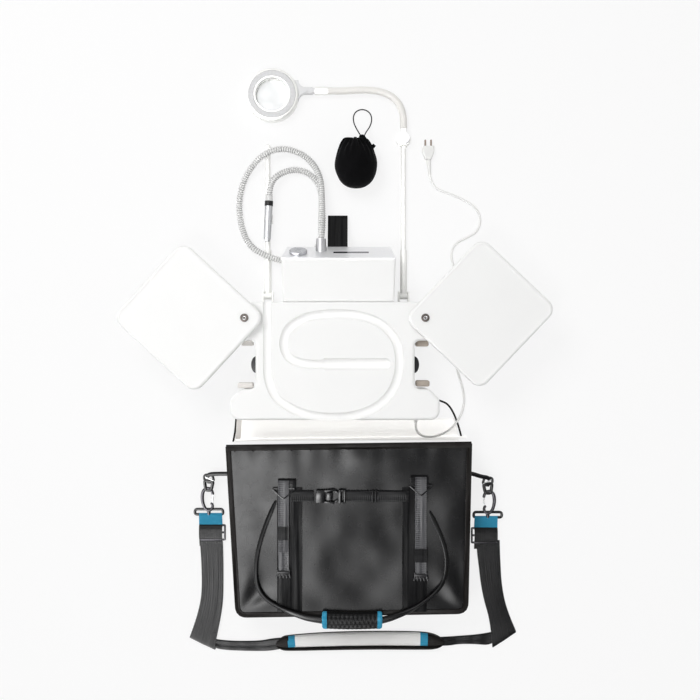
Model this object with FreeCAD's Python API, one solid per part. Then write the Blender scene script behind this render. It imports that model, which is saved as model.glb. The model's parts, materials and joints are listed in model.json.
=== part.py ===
"""Portable nail and foot care table: channelled worktop on a hollow base, two swivelling trays,
suction unit with hose and handpiece, folding magnifier lamp, mains lead, pouch and carry bag.

Row frame: millimetres, +Z up from the surface that everything stands on, +X to the right of the
person who works at the table, +Y away from them. The origin is under the middle of the worktop.
"""
import FreeCAD, Part
import math
import os

V = FreeCAD.Vector
X_AXIS, Y_AXIS, Z_AXIS = V(1, 0, 0), V(0, 1, 0), V(0, 0, 1)

# ---------------------------------------------------------------- driving dimensions
# base housing and worktop
table_width = 441.0
table_depth = 249.0
table_corner = 20.0
foot_height = 6.0
foot_radius = 11.0
foot_inset = 34.0
tub_top = 72.0
worktop_top = 110.0
housing_wall = 4.0
rim_fillet = 7.0
bay_depth = 53.0          # hand-hold bays in the two sides
bay_length = 102.0
bay_center_y = -8.0
bay_corner = 12.0
lobe_radius = 16.0
plate_thickness = 4.0
screw_radius = 3.0
# hose channel in the worktop
channel_radius = 9.5
nozzle_channel_radius = 12.0
channel_wall = 3.0
channel_lip = 2.0
# trays and their pivots
tray_width = 218.0
tray_depth = 234.0
tray_height = 15.0
tray_corner = 24.0
tray_rim = 7.0
tray_floor = 3.0
pivot_x = 188.0
pivot_y = 90.0
pivot_inset = 31.0
post_radius = 13.0
tray_gap = 7.0            # height of the pivot post above the worktop
left_tray_turn = -132.5   # from closed over the worktop to swung out
right_tray_turn = 136.5
pivot_bore_radius = 5.0
running_clearance = 0.06
seat_gap = 0.3
# suction unit
unit_center_x = 7.3
unit_width_back = 242.0
unit_width_front = 235.0
unit_gap = 0.4
unit_depth = 92.1
unit_top = 105.0
unit_split = 58.0
unit_wall = 4.0
fascia_drop_y = 30.0
fascia_bottom = 45.0
fascia_taper = 9.0
fascia_thickness = 3.0
hose_bay_top = 38.0
hose_bay_depth = 21.0
knob_radius = 19.0
knob_height = 5.5
knob_offset_x = -86.5
display_offset_x = 26.5
display_width = 76.0
display_height = 10.0
port_offset_x = -38.0
port_radius = 13.0
port_height = 62.0
port_length = 16.0
# poles and lamp
pole_offset_x = 150.0
pole_axis_z = 8.2
sleeve_radius = 8.0
pole_radius = 5.6
hinge_reach = 18.5         # hinge pin behind the table
hinge_y = table_depth / 2 + hinge_reach
sleeve_start_y = hinge_y + 13
sleeve_end_y = hinge_y + 101
pole_end_y = hinge_y + 329.5
hinge_pin_radius = 3.0
clamp_y = pole_end_y + 16.5
clamp_radius = 16.0
clamp_height = 17.0
arm_radius = 7.6
head_x, head_y = -140.0, clamp_y + 96
head_radius = 58.0
head_height = 26.0
lens_radius = 36.5
ring_outer = 52.5
# hose, handpiece, mains lead
hose_radius = 7.2
handpiece_z = 23.5
handpiece_radius = 8.6
handpiece_end_y = table_depth / 2 + 137.5
lead_radius = 2.5
plug_width = 27.0
plug_height = 13.7
pin_radius = 2.0
pin_spacing = 12.7
pin_length = 15.0
# carry bag
bag_top_z = 92.0
bag_wall = 4.0
strap_thickness = 2.4
web_wide = 49.0
# pouch
pouch_x, pouch_y = 45.0, table_depth / 2 + 299.5
pouch_half_width = 45.0
pouch_half_length = 52.0
pouch_height = 84.0

os.makedirs("parts", exist_ok=True)
parts = {}


def save(name, *solids):
    """Keep one node: a single solid or a group of separate solids."""
    flat = []
    for item in solids:
        flat.extend(item.Solids)
    parts[name] = flat[0] if len(flat) == 1 else Part.makeCompound(flat)


# ---------------------------------------------------------------- small builders
def cylinder(radius, height, base, axis=Z_AXIS):
    return Part.makeCylinder(radius, height, V(*base), axis)


def block(low, high):
    return Part.makeBox(high[0] - low[0], high[1] - low[1], high[2] - low[2], V(*low))


def span(width, depth, height, center):
    """Box given by its size and the middle of its underside."""
    x, y, z = center
    return block((x - width / 2, y - depth / 2, z), (x + width / 2, y + depth / 2, z + height))


def prism(points, low, high):
    """Upright prism on a closed outline of (x, y) points."""
    loop = [V(x, y, low) for x, y in points]
    face = Part.Face(Part.makePolygon(loop + loop[:1]))
    return face.extrude(V(0, 0, high - low))


def side_prism(points, low, high):
    """Prism along X on a closed outline of (y, z) points."""
    loop = [V(low, y, z) for y, z in points]
    face = Part.Face(Part.makePolygon(loop + loop[:1]))
    return face.extrude(V(high - low, 0, 0))


def is_vertical(edge):
    a, b = edge.Vertexes[0].Point, edge.Vertexes[-1].Point
    return abs(a.x - b.x) < 1e-6 and abs(a.y - b.y) < 1e-6 and abs(a.z - b.z) > 1e-6


def at_height(z):
    return lambda e: all(abs(v.Z - z) < 1e-6 for v in e.Vertexes)


def round_edges(shape, radius, wanted):
    edges = [e for e in shape.Edges if e.Vertexes and wanted(e)]
    return shape.makeFillet(radius, edges)


def fuse(*shapes):
    whole = shapes[0]
    for shape in shapes[1:]:
        whole = whole.fuse(shape)
    return whole.removeSplitter()


def bent_wire(points):
    """Straight runs joined by tangent arcs, each as large as its two runs allow."""
    pts = [V(*p) for p in points]
    edges, radii = [], []
    start = pts[0]
    for before, corner, after in zip(pts, pts[1:], pts[2:]):
        back, ahead = (before - corner), (after - corner)
        run = min(back.Length, ahead.Length)
        back.normalize()
        ahead.normalize()
        half_turn = (math.pi - back.getAngle(ahead)) / 2
        reach = 0.45 * run
        radii.append(reach / math.tan(half_turn))
        enter, leave = corner + back * reach, corner + ahead * reach
        bisector = back + ahead
        bisector.normalize()
        depth = radii[-1] / math.cos(half_turn) - radii[-1]
        middle = corner + bisector * depth
        edges.append(Part.LineSegment(start, enter).toShape())
        edges.append(Part.Arc(enter, middle, leave).toShape())
        start = leave
    edges.append(Part.LineSegment(start, pts[-1]).toShape())
    return Part.Wire(edges), radii


def measured_from(edge_y, points):
    """Route points whose Y is measured from an edge."""
    return [(x, edge_y + y, z) for x, y, z in points]


def tube(points, radius, label):
    wire, radii = bent_wire(points)
    first = V(*points[0])
    direction = V(*points[1]) - first
    section = Part.Wire([Part.Circle(first, direction, radius).toShape()])
    pipe = wire.makePipeShell([section], True, False, 2)
    ratio = pipe.Volume / (math.pi * radius ** 2 * wire.Length)
    print(f"{label}: length {wire.Length:.0f} mm, least radius {min(radii):.1f} mm, volume ratio {ratio:.4f}")
    return pipe


def outline_face(corners, z):
    """Flat face on a closed outline of (x, y, radius) corners, each rounded to its radius."""
    pts = [V(x, y, z) for x, y, _ in corners]
    count = len(pts)
    arcs = []
    for i, (_, _, radius) in enumerate(corners):
        corner = pts[i]
        back, ahead = pts[i - 1] - corner, pts[(i + 1) % count] - corner
        back.normalize()
        ahead.normalize()
        half = back.getAngle(ahead) / 2
        reach = radius / math.tan(half)
        bisector = back + ahead
        bisector.normalize()
        middle = corner + bisector * (radius / math.sin(half) - radius)
        arcs.append((corner + back * reach, middle, corner + ahead * reach))
    edges = []
    for i, (enter, middle, leave) in enumerate(arcs):
        edges.append(Part.Arc(enter, middle, leave).toShape())
        edges.append(Part.LineSegment(leave, arcs[(i + 1) % count][0]).toShape())
    return Part.Face(Part.Wire(edges))


# ---------------------------------------------------------------- base housing and worktop
half_w, half_d = table_width / 2, table_depth / 2
bay_x = half_w - bay_depth
bay_high, bay_low = bay_center_y + bay_length / 2, bay_center_y - bay_length / 2
shoulder = 22.0           # how far the lobes beside a bay slope back


def housing_face(z, inset=0.0):
    """Plan of the housing: a rounded oblong with a hand-hold bay in each side."""
    right = [
        (half_w, half_d, table_corner),
        (half_w, bay_high + shoulder, lobe_radius),
        (half_w - shoulder, bay_high, lobe_radius),
        (bay_x, bay_high, bay_corner),
        (bay_x, bay_low, bay_corner),
        (half_w - shoulder, bay_low, lobe_radius),
        (half_w, bay_low - shoulder, lobe_radius),
        (half_w, -half_d, table_corner),
    ]
    left = [(-x, y, r) for x, y, r in reversed(right)]
    face = outline_face(right + left, z)
    return face.makeOffset2D(-inset) if inset else face


def housing_block(low, high, inset=0.0):
    return housing_face(low, inset).extrude(V(0, 0, high - low))


channel_plan_width = 441.0      # worktop width at which the channel has this plan
channel_route = [
    (-142, 150), (-142, -34), (-127, -76), (-86, -105), (-34, -118), (30, -118), (86, -100),
    (124, -62), (138, -8), (130, 44), (98, 80), (48, 98), (-12, 100), (-66, 92), (-101, 68),
    (-110, 34), (-97, 4), (-62, -7), (106, -5),
]


def channel_tool(radius, top):
    """The hose channel as one rod: in at the back edge, round the worktop and in to its middle."""
    route = [(x * table_width / channel_plan_width, y, top) for x, y in channel_route]
    rod = tube(route, radius, "hose channel")
    end_x, end_y, _ = route[-1]
    wide = radius + nozzle_channel_radius - channel_radius
    start_x = end_x - 130
    pocket = cylinder(wide, end_x - start_x, (start_x, end_y - 1, top), X_AXIS)
    end = Part.makeSphere(wide, V(end_x, end_y - 1, top))
    return rod.fuse(pocket).fuse(end)


pivots = [(-pivot_x, pivot_y), (pivot_x, pivot_y)]
outer = round_edges(housing_block(tub_top, worktop_top), rim_fillet, at_height(worktop_top))
inner = housing_block(tub_top - 1, worktop_top - housing_wall, housing_wall)
worktop = outer.cut(inner)
trough = channel_tool(channel_radius + channel_wall, worktop_top)
trough = trough.common(housing_block(tub_top, worktop_top - housing_wall / 2, housing_wall / 2))
worktop = worktop.fuse(trough).cut(channel_tool(channel_radius, worktop_top))
boss_radius = pivot_bore_radius + 4
for x, y in pivots:
    boss = cylinder(boss_radius, worktop_top - 1 - tub_top, (x, y, tub_top))
    worktop = worktop.fuse(boss).cut(cylinder(pivot_bore_radius, 60, (x, y, tub_top - 5)))
latch_width, latch_height, latch_z = 36.0, 12.0, 84.0
latch_gap = 0.6
for side in (-1, 1):
    hole = span(3 * housing_wall, latch_width, latch_height, (side * bay_x, bay_center_y, latch_z))
    worktop = worktop.cut(hole)
save("worktop_panel", worktop.removeSplitter())

tub = housing_block(foot_height, tub_top).cut(housing_block(foot_height - 1, tub_top + 1, housing_wall))
pillar_radius = 7.0
pillars = [(sx * (half_w - foot_inset), sy * (half_d - foot_inset)) for sx in (-1, 1) for sy in (-1, 1)]
for x, y in pillars:
    tub = tub.fuse(cylinder(pillar_radius, tub_top - foot_height - plate_thickness,
                            (x, y, foot_height + plate_thickness)))
    rib_x = math.copysign(half_w - housing_wall, x)
    tub = tub.fuse(block((min(x, rib_x), y - 2, foot_height + plate_thickness),
                         (max(x, rib_x), y + 2, tub_top - 2)))
    tub = tub.cut(cylinder(screw_radius, 20, (x, y, foot_height)))
gland_x, gland_z = 176.0, 14.4
tub = tub.cut(cylinder(4.0, 20, (gland_x, -half_d - 5, gland_z), Y_AXIS))
save("base_tub", tub.removeSplitter())

plate = housing_block(foot_height, foot_height + plate_thickness, housing_wall + seat_gap)
screws = []
for x, y in pillars:
    plate = plate.cut(cylinder(screw_radius + 0.3, 20, (x, y, 0)))
    screws.append(cylinder(screw_radius - 0.1, 15, (x, y, foot_height)))
save("base_plate", plate)
save("housing_screws", *screws)
feet = [cylinder(foot_radius, foot_height, (x, y, 0)) for x, y in pillars + [(0, 0)]]
feet = [round_edges(foot, 1.5, at_height(0)) for foot in feet]
unit_low = 4.0            # the suction unit stands on pads of this height
pad_radius = 8.0
feet += [cylinder(pad_radius, unit_low, (x, y, 0)) for x in (-85, 100) for y in (140, 184)]
save("rubber_feet", *feet)

# latch buttons in the hand-hold bays: a cap through the wall with a stop flange inside
latch_proud, latch_flange = 8.5, 2.5
for side, name in ((-1, "hand_latch_left"), (1, "hand_latch_right")):
    face_x = side * (bay_x + latch_proud)
    inner_x = side * (bay_x - housing_wall - seat_gap)
    low_x, high_x = sorted((face_x, inner_x - side * latch_flange))
    cap = block((low_x, bay_center_y - latch_width / 2 + latch_gap, latch_z + latch_gap),
                (high_x, bay_center_y + latch_width / 2 - latch_gap, latch_z + latch_height - latch_gap))
    cap = round_edges(cap, 1.5, lambda e: all(abs(v.X - face_x) < 1e-6 for v in e.Vertexes))
    low_x, high_x = sorted((inner_x, inner_x - side * latch_flange))
    flange = block((low_x, bay_center_y - latch_width / 2 - 3, latch_z - 3),
                   (high_x, bay_center_y + latch_width / 2 + 3, latch_z + latch_height + 3))
    save(name, fuse(cap, flange))

# ---------------------------------------------------------------- trays on their pivot posts
tray_low = worktop_top + tray_gap
tray_high = tray_low + tray_height
shank_radius = pivot_bore_radius - running_clearance
screw_head_radius, screw_head_height, socket_radius = 8.6, 3.0, 4.4
posts, pivot_screws = [], []
for x, y in pivots:
    post = cylinder(post_radius, tray_gap - seat_gap, (x, y, worktop_top))
    posts.append(post.cut(cylinder(pivot_bore_radius, 30, (x, y, worktop_top - 5))))
    head_z = tray_high + seat_gap - 1.0
    shank = cylinder(shank_radius, head_z - tub_top - 8, (x, y, tub_top + 8))
    head = cylinder(screw_head_radius, screw_head_height, (x, y, head_z))
    head = round_edges(head, 1.2, at_height(head_z + screw_head_height))
    socket = cylinder(socket_radius, screw_head_height, (x, y, head_z + 0.8))
    pivot_screws.append(fuse(shank, head).cut(socket))
save("pivot_posts", *posts)
save("pivot_screws", *pivot_screws)


def closed_tray(side):
    """Tray as it lies closed over its half of the worktop: a flat shallow dish, hollow below."""
    x_out = side * (pivot_x + pivot_inset)
    x_in = x_out - side * tray_width
    y_high = pivot_y + pivot_inset
    y_low = y_high - tray_depth
    low_x, high_x = sorted((x_in, x_out))
    corners = [(low_x, y_low), (high_x, y_low), (high_x, y_high), (low_x, y_high)]
    sign = [(1, 1), (-1, 1), (-1, -1), (1, -1)]

    def slab(z0, z1, inset):
        corner = tray_corner - inset if inset < tray_corner - 2 else 2.0
        pts = [(x + sx * inset, y + sy * inset, corner) for (x, y), (sx, sy) in zip(corners, sign)]
        return outline_face(pts, z0).extrude(V(0, 0, z1 - z0))

    body = round_edges(slab(tray_low, tray_high, 0), 6.0, at_height(tray_high))
    dish = slab(tray_high - 1.0, tray_high + 5, tray_rim)
    hollow = slab(tray_low - 1, tray_high - 1.0 - tray_floor, 3.0)
    px, py = side * pivot_x, pivot_y
    hub = cylinder(post_radius, tray_high - 2.0 - tray_low, (px, py, tray_low))
    tray = body.cut(dish).cut(hollow).fuse(hub)
    bore = cylinder(pivot_bore_radius, 60, (px, py, tray_low - 5))
    return tray.removeSplitter().cut(bore)


for side, turn, name in ((-1, left_tray_turn, "tray_left"), (1, right_tray_turn, "tray_right")):
    tray = closed_tray(side)
    tray.rotate(V(side * pivot_x, pivot_y, 0), Z_AXIS, turn)
    save(name, tray)

# ---------------------------------------------------------------- suction unit
unit_front_y = half_d + unit_gap
unit_back_y = unit_front_y + unit_depth
hose_bay_front_y = unit_back_y - hose_bay_depth
fascia_y = unit_back_y + fascia_drop_y
slope = V(0, fascia_drop_y, fascia_bottom - unit_top)
slope.normalize()
normal = V(0, -slope.z, slope.y)


def unit_body(inset):
    """Body of the unit, or its hollow when inset by the wall."""
    low, high = unit_low + inset, unit_top - inset
    front, bay = unit_front_y + inset, hose_bay_front_y - inset
    lift = inset / normal.y
    profile = [(front, low), (bay, low), (bay, hose_bay_top + inset),
               (fascia_y - lift, hose_bay_top + inset), (fascia_y - lift, fascia_bottom),
               (unit_back_y - lift + inset * normal.z / normal.y, high), (front, high)]
    body = side_prism(profile, unit_center_x - unit_width_back, unit_center_x + unit_width_back)
    wide, narrow = unit_width_back / 2 - inset, unit_width_front / 2 - inset
    back = wide - fascia_taper
    c = unit_center_x
    plan = [(c - narrow, unit_front_y), (c + narrow, unit_front_y), (c + wide, unit_back_y),
            (c + back, fascia_y), (c - back, fascia_y), (c - wide, unit_back_y)]
    return body.common(prism(plan, unit_low, unit_top))


def fascia_point(offset_x, down, out=0.0):
    """Point on the sloped fascia, measured from its upper edge and out along its normal."""
    p = V(unit_center_x + offset_x, unit_back_y, unit_top) + slope * down + normal * out
    return (p.x, p.y, p.z)


shell = unit_body(0)
corner_rounding = 5.0
top_edges = [e for e in shell.Edges if at_height(unit_top)(e) and min(v.Y for v in e.Vertexes) < unit_back_y - 1]
shell = shell.makeFillet(corner_rounding, top_edges)
solid_unit = shell
slab_points = [fascia_point(0, -20, 0), fascia_point(0, 90, 0),
               fascia_point(0, 90, -fascia_thickness), fascia_point(0, -20, -fascia_thickness)]
slab = side_prism([(p[1], p[2]) for p in slab_points], -200, 220)
lip_low = block((-200, 0, fascia_bottom), (220, 400, 200))
fascia = solid_unit.common(slab).common(lip_low)
shell = shell.cut(slab.common(lip_low)).cut(unit_body(unit_wall))
stem_radius = 3.0
fascia_mid = 33.5
knob_down = fascia_mid - 2.5
knob_base = fascia_point(knob_offset_x, knob_down, 0.8)
stem_hole = cylinder(stem_radius + running_clearance, 30, fascia_point(knob_offset_x, knob_down, -20), normal)
port_x = unit_center_x + port_offset_x
port_y = unit_back_y + (unit_top - port_height) / (unit_top - fascia_bottom) * fascia_drop_y
port_end_y = port_y + port_length + 8
port_bore = cylinder(hose_radius - 1, 60, (port_x, port_y - 30, port_height), Y_AXIS)
fascia = fascia.cut(stem_hole).cut(port_bore)
shell = shell.cut(stem_hole).cut(port_bore)


def on_fascia(width, height, thickness, offset_x, down, out):
    """Flat block lying on the fascia, centred on a point of it."""
    piece = block((-width / 2, -height / 2, 0), (width / 2, height / 2, thickness))
    piece.rotate(V(0, 0, 0), X_AXIS, -math.degrees(math.atan2(normal.y, normal.z)))
    piece.translate(V(*fascia_point(offset_x, down, out)))
    return piece


window_depth = 1.5
fascia = fascia.cut(on_fascia(display_width, display_height, 5, display_offset_x, fascia_mid, -window_depth))
save("control_fascia", fascia)
save("display_window", on_fascia(display_width - 0.4, display_height - 0.4, window_depth - 0.2,
                                 display_offset_x, fascia_mid, -window_depth))
cap = cylinder(knob_radius, knob_height, (0, 0, 0))
cap = round_edges(cap, 1.6, at_height(knob_height))
knob = fuse(cap, cylinder(stem_radius, 16, (0, 0, -15)))
finger_dip = Part.makeSphere(30, V(0, 0, knob_height + 28.5))
knob = knob.cut(finger_dip)
tip = -math.degrees(math.atan2(normal.y, normal.z))
knob.rotate(V(0, 0, 0), X_AXIS, tip)
knob.translate(V(*knob_base))
save("speed_knob", knob)
encoder = on_fascia(16, 16, 9, knob_offset_x, knob_down, -unit_wall - 9 - seat_gap)
encoder = encoder.cut(stem_hole)
save("knob_encoder", encoder)

port = Part.makeCone(port_radius, hose_radius + 3, port_end_y - port_y + 20,
                     V(port_x, port_y - 20, port_height), Y_AXIS)
port = port.cut(solid_unit).cut(slab.common(lip_low))
port = max(port.Solids, key=lambda s: s.Volume).cut(port_bore)
save("hose_port", port)

split = block((-300, 0, unit_split), (300, 400, 300))
front_shell, rear_shell = shell.common(split), shell.cut(split)
room_low_x = unit_center_x - unit_width_front / 2 + unit_wall
room_high_x = unit_center_x + unit_width_front / 2 - unit_wall
room_y = unit_front_y + unit_wall + 5.1          # front of everything that stands in the unit
supply_width, part_gap = 23.0, 6.0
supply_x = room_high_x - 5.8 - supply_width
motor_radius, motor_length, motor_z = 25.0, 56.0, 38.0
motor_x, motor_y = supply_x - part_gap - motor_length, room_y + motor_radius + 1
floor_z = unit_low + unit_wall
board_z, board_thickness = 88.0, 1.6
board_low_x, board_high_x, board_depth = room_low_x + 40.2, room_high_x - 34.8, 62.0
board_corners = [(x, y) for x in (board_low_x + 6, board_high_x - 6) for y in (room_y + 6, room_y + board_depth - 6)]
for x, y in board_corners:
    front_shell = front_shell.fuse(cylinder(4, unit_top - unit_wall - board_z - board_thickness + 1,
                                            (x, y, board_z + board_thickness)))
rocker_y, rocker_z, rocker_long, rocker_high = room_y + 31, 32.0, 20.0, 13.0
rocker_gap = 0.8
side_x = unit_center_x + (unit_width_front + (unit_width_back - unit_width_front)
                          * (rocker_y - unit_front_y) / (unit_back_y - unit_front_y)) / 2
rocker_hole = block((side_x - 10, rocker_y - rocker_long / 2, rocker_z - rocker_high / 2),
                    (side_x + 10, rocker_y + rocker_long / 2, rocker_z + rocker_high / 2))
pivot_pin = 1.4
rocker_pivot_x = side_x - unit_wall / 2
pin_length_z = rocker_high + 4
pin_bore = cylinder(pivot_pin + running_clearance, pin_length_z + 0.4,
                    (rocker_pivot_x, rocker_y, rocker_z - pin_length_z / 2 - 0.2))
rear_shell = rear_shell.cut(rocker_hole).cut(pin_bore)
save("unit_front_shell", front_shell.removeSplitter())
save("unit_rear_shell", rear_shell.removeSplitter())
rocker_body = block((rocker_pivot_x - 3, rocker_y - rocker_long / 2 + rocker_gap, rocker_z - rocker_high / 2 + 0.4),
                    (rocker_pivot_x + 3.4, rocker_y + rocker_long / 2 - rocker_gap, rocker_z + rocker_high / 2 - 0.4))
save("power_rocker", fuse(rocker_body, cylinder(pivot_pin, pin_length_z,
                                                 (rocker_pivot_x, rocker_y, rocker_z - pin_length_z / 2))))

motor = cylinder(motor_radius, motor_length, (motor_x, motor_y, motor_z), X_AXIS)
motor_foot = block((motor_x + 6, motor_y - 16, floor_z), (motor_x + motor_length - 6, motor_y + 16, motor_z))
motor_shaft = cylinder(2.5, 22, (motor_x - 20, motor_y, motor_z), X_AXIS)
save("suction_motor", fuse(motor, motor_foot, motor_shaft))
hub_length, blade_count, fan_radius = 13.0, 8, 24.0
fan_x = motor_x - 16
impeller = fuse(cylinder(6, hub_length, (fan_x, motor_y, motor_z), X_AXIS),
                cylinder(fan_radius, 2, (fan_x + hub_length - 2, motor_y, motor_z), X_AXIS))
for k in range(blade_count):
    blade = block((fan_x + 2, motor_y - 0.8, motor_z + 4), (fan_x + hub_length - 1, motor_y + 0.8, motor_z + fan_radius - 1))
    blade.rotate(V(0, motor_y, motor_z), X_AXIS, k * 360 / blade_count)
    impeller = impeller.fuse(blade)
save("fan_impeller", impeller.removeSplitter().cut(
    cylinder(2.5 + running_clearance, 60, (fan_x - 10, motor_y, motor_z), X_AXIS)))
filter_x, filter_height = room_low_x + 8.2, 62.0
filter_width = min(68.0, motor_x - 20 - part_gap - filter_x)
save("filter_cartridge", block((filter_x, room_y, floor_z), (filter_x + filter_width, room_y + 52, floor_z + filter_height)))
save("power_supply", block((supply_x, room_y, floor_z), (supply_x + supply_width, room_y + 16, floor_z + 44)))
board_middle = (board_low_x + board_high_x) / 2
save("control_board", fuse(block((board_low_x, room_y, board_z), (board_high_x, room_y + board_depth, board_z + board_thickness)),
                           span(40, 25, 12, (board_middle, room_y + 28.5, board_z - 12))))

# webbing carry strap on the back of the unit: a wide band that lies back on itself
strap_x0, strap_x1, strap_end_y = -17.0, 26.0, fascia_y + 69
strap_root_z = fascia_bottom - 3
strap_profile = [(fascia_y + 0.1, strap_root_z - 3), (fascia_y + 0.1, strap_root_z), (strap_end_y - 8, 12),
                 (strap_end_y, 7), (strap_end_y, 1), (strap_end_y - 10, 0.2), (strap_end_y - 30, 1)]
save("carry_strap", side_prism(strap_profile, strap_x0, strap_x1))

# ---------------------------------------------------------------- poles and folding lamp
ear_gap, ear_thickness, ear_high_z = 8.6, 4.0, 17.0
brackets, pins = [], []
for x in (-pole_offset_x, pole_offset_x):
    for side in (-1, 1):
        low_x, high_x = sorted((x + side * ear_gap, x + side * (ear_gap + ear_thickness)))
        ear = block((low_x, half_d, 0.5), (high_x, hinge_y + 9, ear_high_z))
        ear = ear.cut(cylinder(hinge_pin_radius, 40, (x - 20, hinge_y, pole_axis_z), X_AXIS))
        brackets.append(ear)
    reach = ear_gap + ear_thickness
    pins.append(cylinder(hinge_pin_radius - 0.05, 2 * reach, (x - reach, hinge_y, pole_axis_z), X_AXIS))
save("pole_brackets", *brackets)
save("hinge_pins", *pins)


def pole_sleeve(x, bore):
    """Lower tube with its hinge knuckle, bored for the upper pole."""
    knuckle = cylinder(sleeve_radius, 2 * ear_gap - 0.8, (x - ear_gap + 0.4, hinge_y, pole_axis_z), X_AXIS)
    body = cylinder(sleeve_radius - 0.2, sleeve_end_y - hinge_y, (x, hinge_y, pole_axis_z), Y_AXIS)
    sleeve = fuse(knuckle, body)
    eye = cylinder(hinge_pin_radius + running_clearance, 40, (x - 20, hinge_y, pole_axis_z), X_AXIS)
    return sleeve.cut(eye).cut(cylinder(bore, 200, (x, sleeve_start_y, pole_axis_z), Y_AXIS))


pole_overlap = 24.0
save("lamp_sleeve", pole_sleeve(pole_offset_x, pole_radius + running_clearance))
pole = cylinder(pole_radius, pole_end_y - sleeve_end_y + pole_overlap,
                (pole_offset_x, sleeve_end_y - pole_overlap, pole_axis_z), Y_AXIS)
save("lamp_pole", pole)
rest = cylinder(pole_radius, pole_end_y - sleeve_start_y - 10, (-pole_offset_x, sleeve_start_y + 10, pole_axis_z), Y_AXIS)
cap_ball = Part.makeSphere(pole_radius, V(-pole_offset_x, pole_end_y, pole_axis_z))
save("rest_pole", pole_sleeve(-pole_offset_x, pole_radius), fuse(rest, cap_ball))

# clamp elbow: a fixed boss on the pole, a turning arm hub above it and a knob on its pin
hub_z, knob_z, knob_top, pin_top = 9.2, 17.4, 23.0, 20.5
pin_r = 3.0
boss = cylinder(clamp_radius, hub_z - 0.4, (pole_offset_x, clamp_y, 0.2))
boss = fuse(boss, cylinder(pin_r, pin_top - 1, (pole_offset_x, clamp_y, 1)))
collar = cylinder(pole_radius + 2, 10, (pole_offset_x, pole_end_y - 2, pole_axis_z), Y_AXIS)
collar = collar.common(block((0, 0, 0.6), (400, 600, 16)))
keep_clear = cylinder(clamp_radius + 0.4, 30, (pole_offset_x, clamp_y, hub_z - 0.4))
elbow = fuse(boss, collar.cut(keep_clear))
elbow = elbow.cut(cylinder(pole_radius, 30, (pole_offset_x, pole_end_y - 30, pole_axis_z), Y_AXIS))
save("elbow_clamp", elbow)
arm_z = 13.0
hub = cylinder(clamp_radius - 1, knob_z - hub_z - 0.3, (pole_offset_x, clamp_y, hub_z))
hub_neck = cylinder(6.0, 20, (pole_offset_x, clamp_y + 4, arm_z), Y_AXIS)
hub_neck = hub_neck.common(block((0, clamp_y, hub_z), (400, 900, knob_z - 0.3)))
hub = fuse(hub, hub_neck).cut(cylinder(pin_r + running_clearance, 40, (pole_offset_x, clamp_y, 0)))
save("arm_hub", hub)
knob = cylinder(clamp_radius - 3, knob_top - knob_z, (pole_offset_x, clamp_y, knob_z))
knob = round_edges(knob, 1.5, at_height(knob_top))
save("clamp_knob", knob.cut(cylinder(pin_r + running_clearance, pin_top + 0.2 - knob_z + 1,
                                     (pole_offset_x, clamp_y, knob_z - 1))))

arm_start_y = clamp_y + 24
arm_end_x, arm_end_y = -17.0, clamp_y + 106
arm_route = [(pole_offset_x, arm_start_y, arm_z)] + measured_from(clamp_y, [
    (149.5, 51, arm_z), (141, 77, arm_z), (122, 96, arm_z), (94, 106, arm_z), (60, 108.5, arm_z), (22, 106, arm_z),
    (arm_end_x, 106, arm_z),
])
save("lamp_arm", tube(arm_route, arm_radius, "lamp arm"))
ferrule_end_x = -45.0
ferrule = cylinder(arm_radius + 1.6, arm_end_x - ferrule_end_x, (ferrule_end_x, arm_end_y, arm_z), X_AXIS)
save("arm_ferrule", ferrule)
bracket_low, bracket_high = arm_z - 6.5, arm_z + 6.5
lug = cylinder(6.5, 14, (ferrule_end_x - 14 - seat_gap, arm_end_y, arm_z), X_AXIS)
neck_half, flare = 7.0, 15.0
flare_x = head_x + head_radius + flare
wedge = block((head_x + head_radius - 14, arm_end_y - neck_half - flare, bracket_low),
              (flare_x, arm_end_y + neck_half + flare, bracket_high))
for side in (-1, 1):
    wedge = wedge.cut(cylinder(flare, 60, (flare_x, arm_end_y + side * (neck_half + flare), -10)))
wedge = wedge.fuse(block((flare_x - 4, arm_end_y - neck_half, bracket_low),
                         (ferrule_end_x - 6, arm_end_y + neck_half, bracket_high))).removeSplitter()
head_rim = cylinder(head_radius + 0.2, 60, (head_x, head_y, -10))
wedge = wedge.cut(head_rim)
wedge = max(wedge.Solids, key=lambda s: s.Volume)
screw_x, screw_y = -66.0, arm_end_y - 1
bracket = fuse(wedge, lug).cut(cylinder(2.2, 40, (screw_x, screw_y, bracket_high - 6)))
bracket_screw = fuse(cylinder(2.1, 7, (screw_x, screw_y, bracket_high - 6)),
                     cylinder(3.8, 2, (screw_x, screw_y, bracket_high)))
save("head_bracket", bracket, bracket_screw)

ledge_radius, ledge_low, ledge_high = 33.5, 6.0, 9.5
housing = cylinder(head_radius, head_height, (head_x, head_y, 0.2))
housing = round_edges(housing, 6.0, at_height(head_height + 0.2))
housing = round_edges(housing, 4.0, at_height(0.2))
housing = housing.cut(cylinder(lens_radius + 0.1, 60, (head_x, head_y, ledge_high)))
housing = housing.cut(cylinder(ledge_radius, 60, (head_x, head_y, -5)))
housing = housing.cut(cylinder(lens_radius + 0.1, ledge_low + 5, (head_x, head_y, -5)))
groove_inner = lens_radius + 3.5
groove_floor = head_height - 8
groove = cylinder(ring_outer, 20, (head_x, head_y, groove_floor)).cut(
    cylinder(groove_inner, 30, (head_x, head_y, groove_floor - 5)))
save("lamp_housing", housing.cut(groove))


def ring(inner_r, outer_r, low, high):
    body = cylinder(outer_r, high - low, (head_x, head_y, low))
    return body.cut(cylinder(inner_r, high - low + 2, (head_x, head_y, low - 1)))


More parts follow.
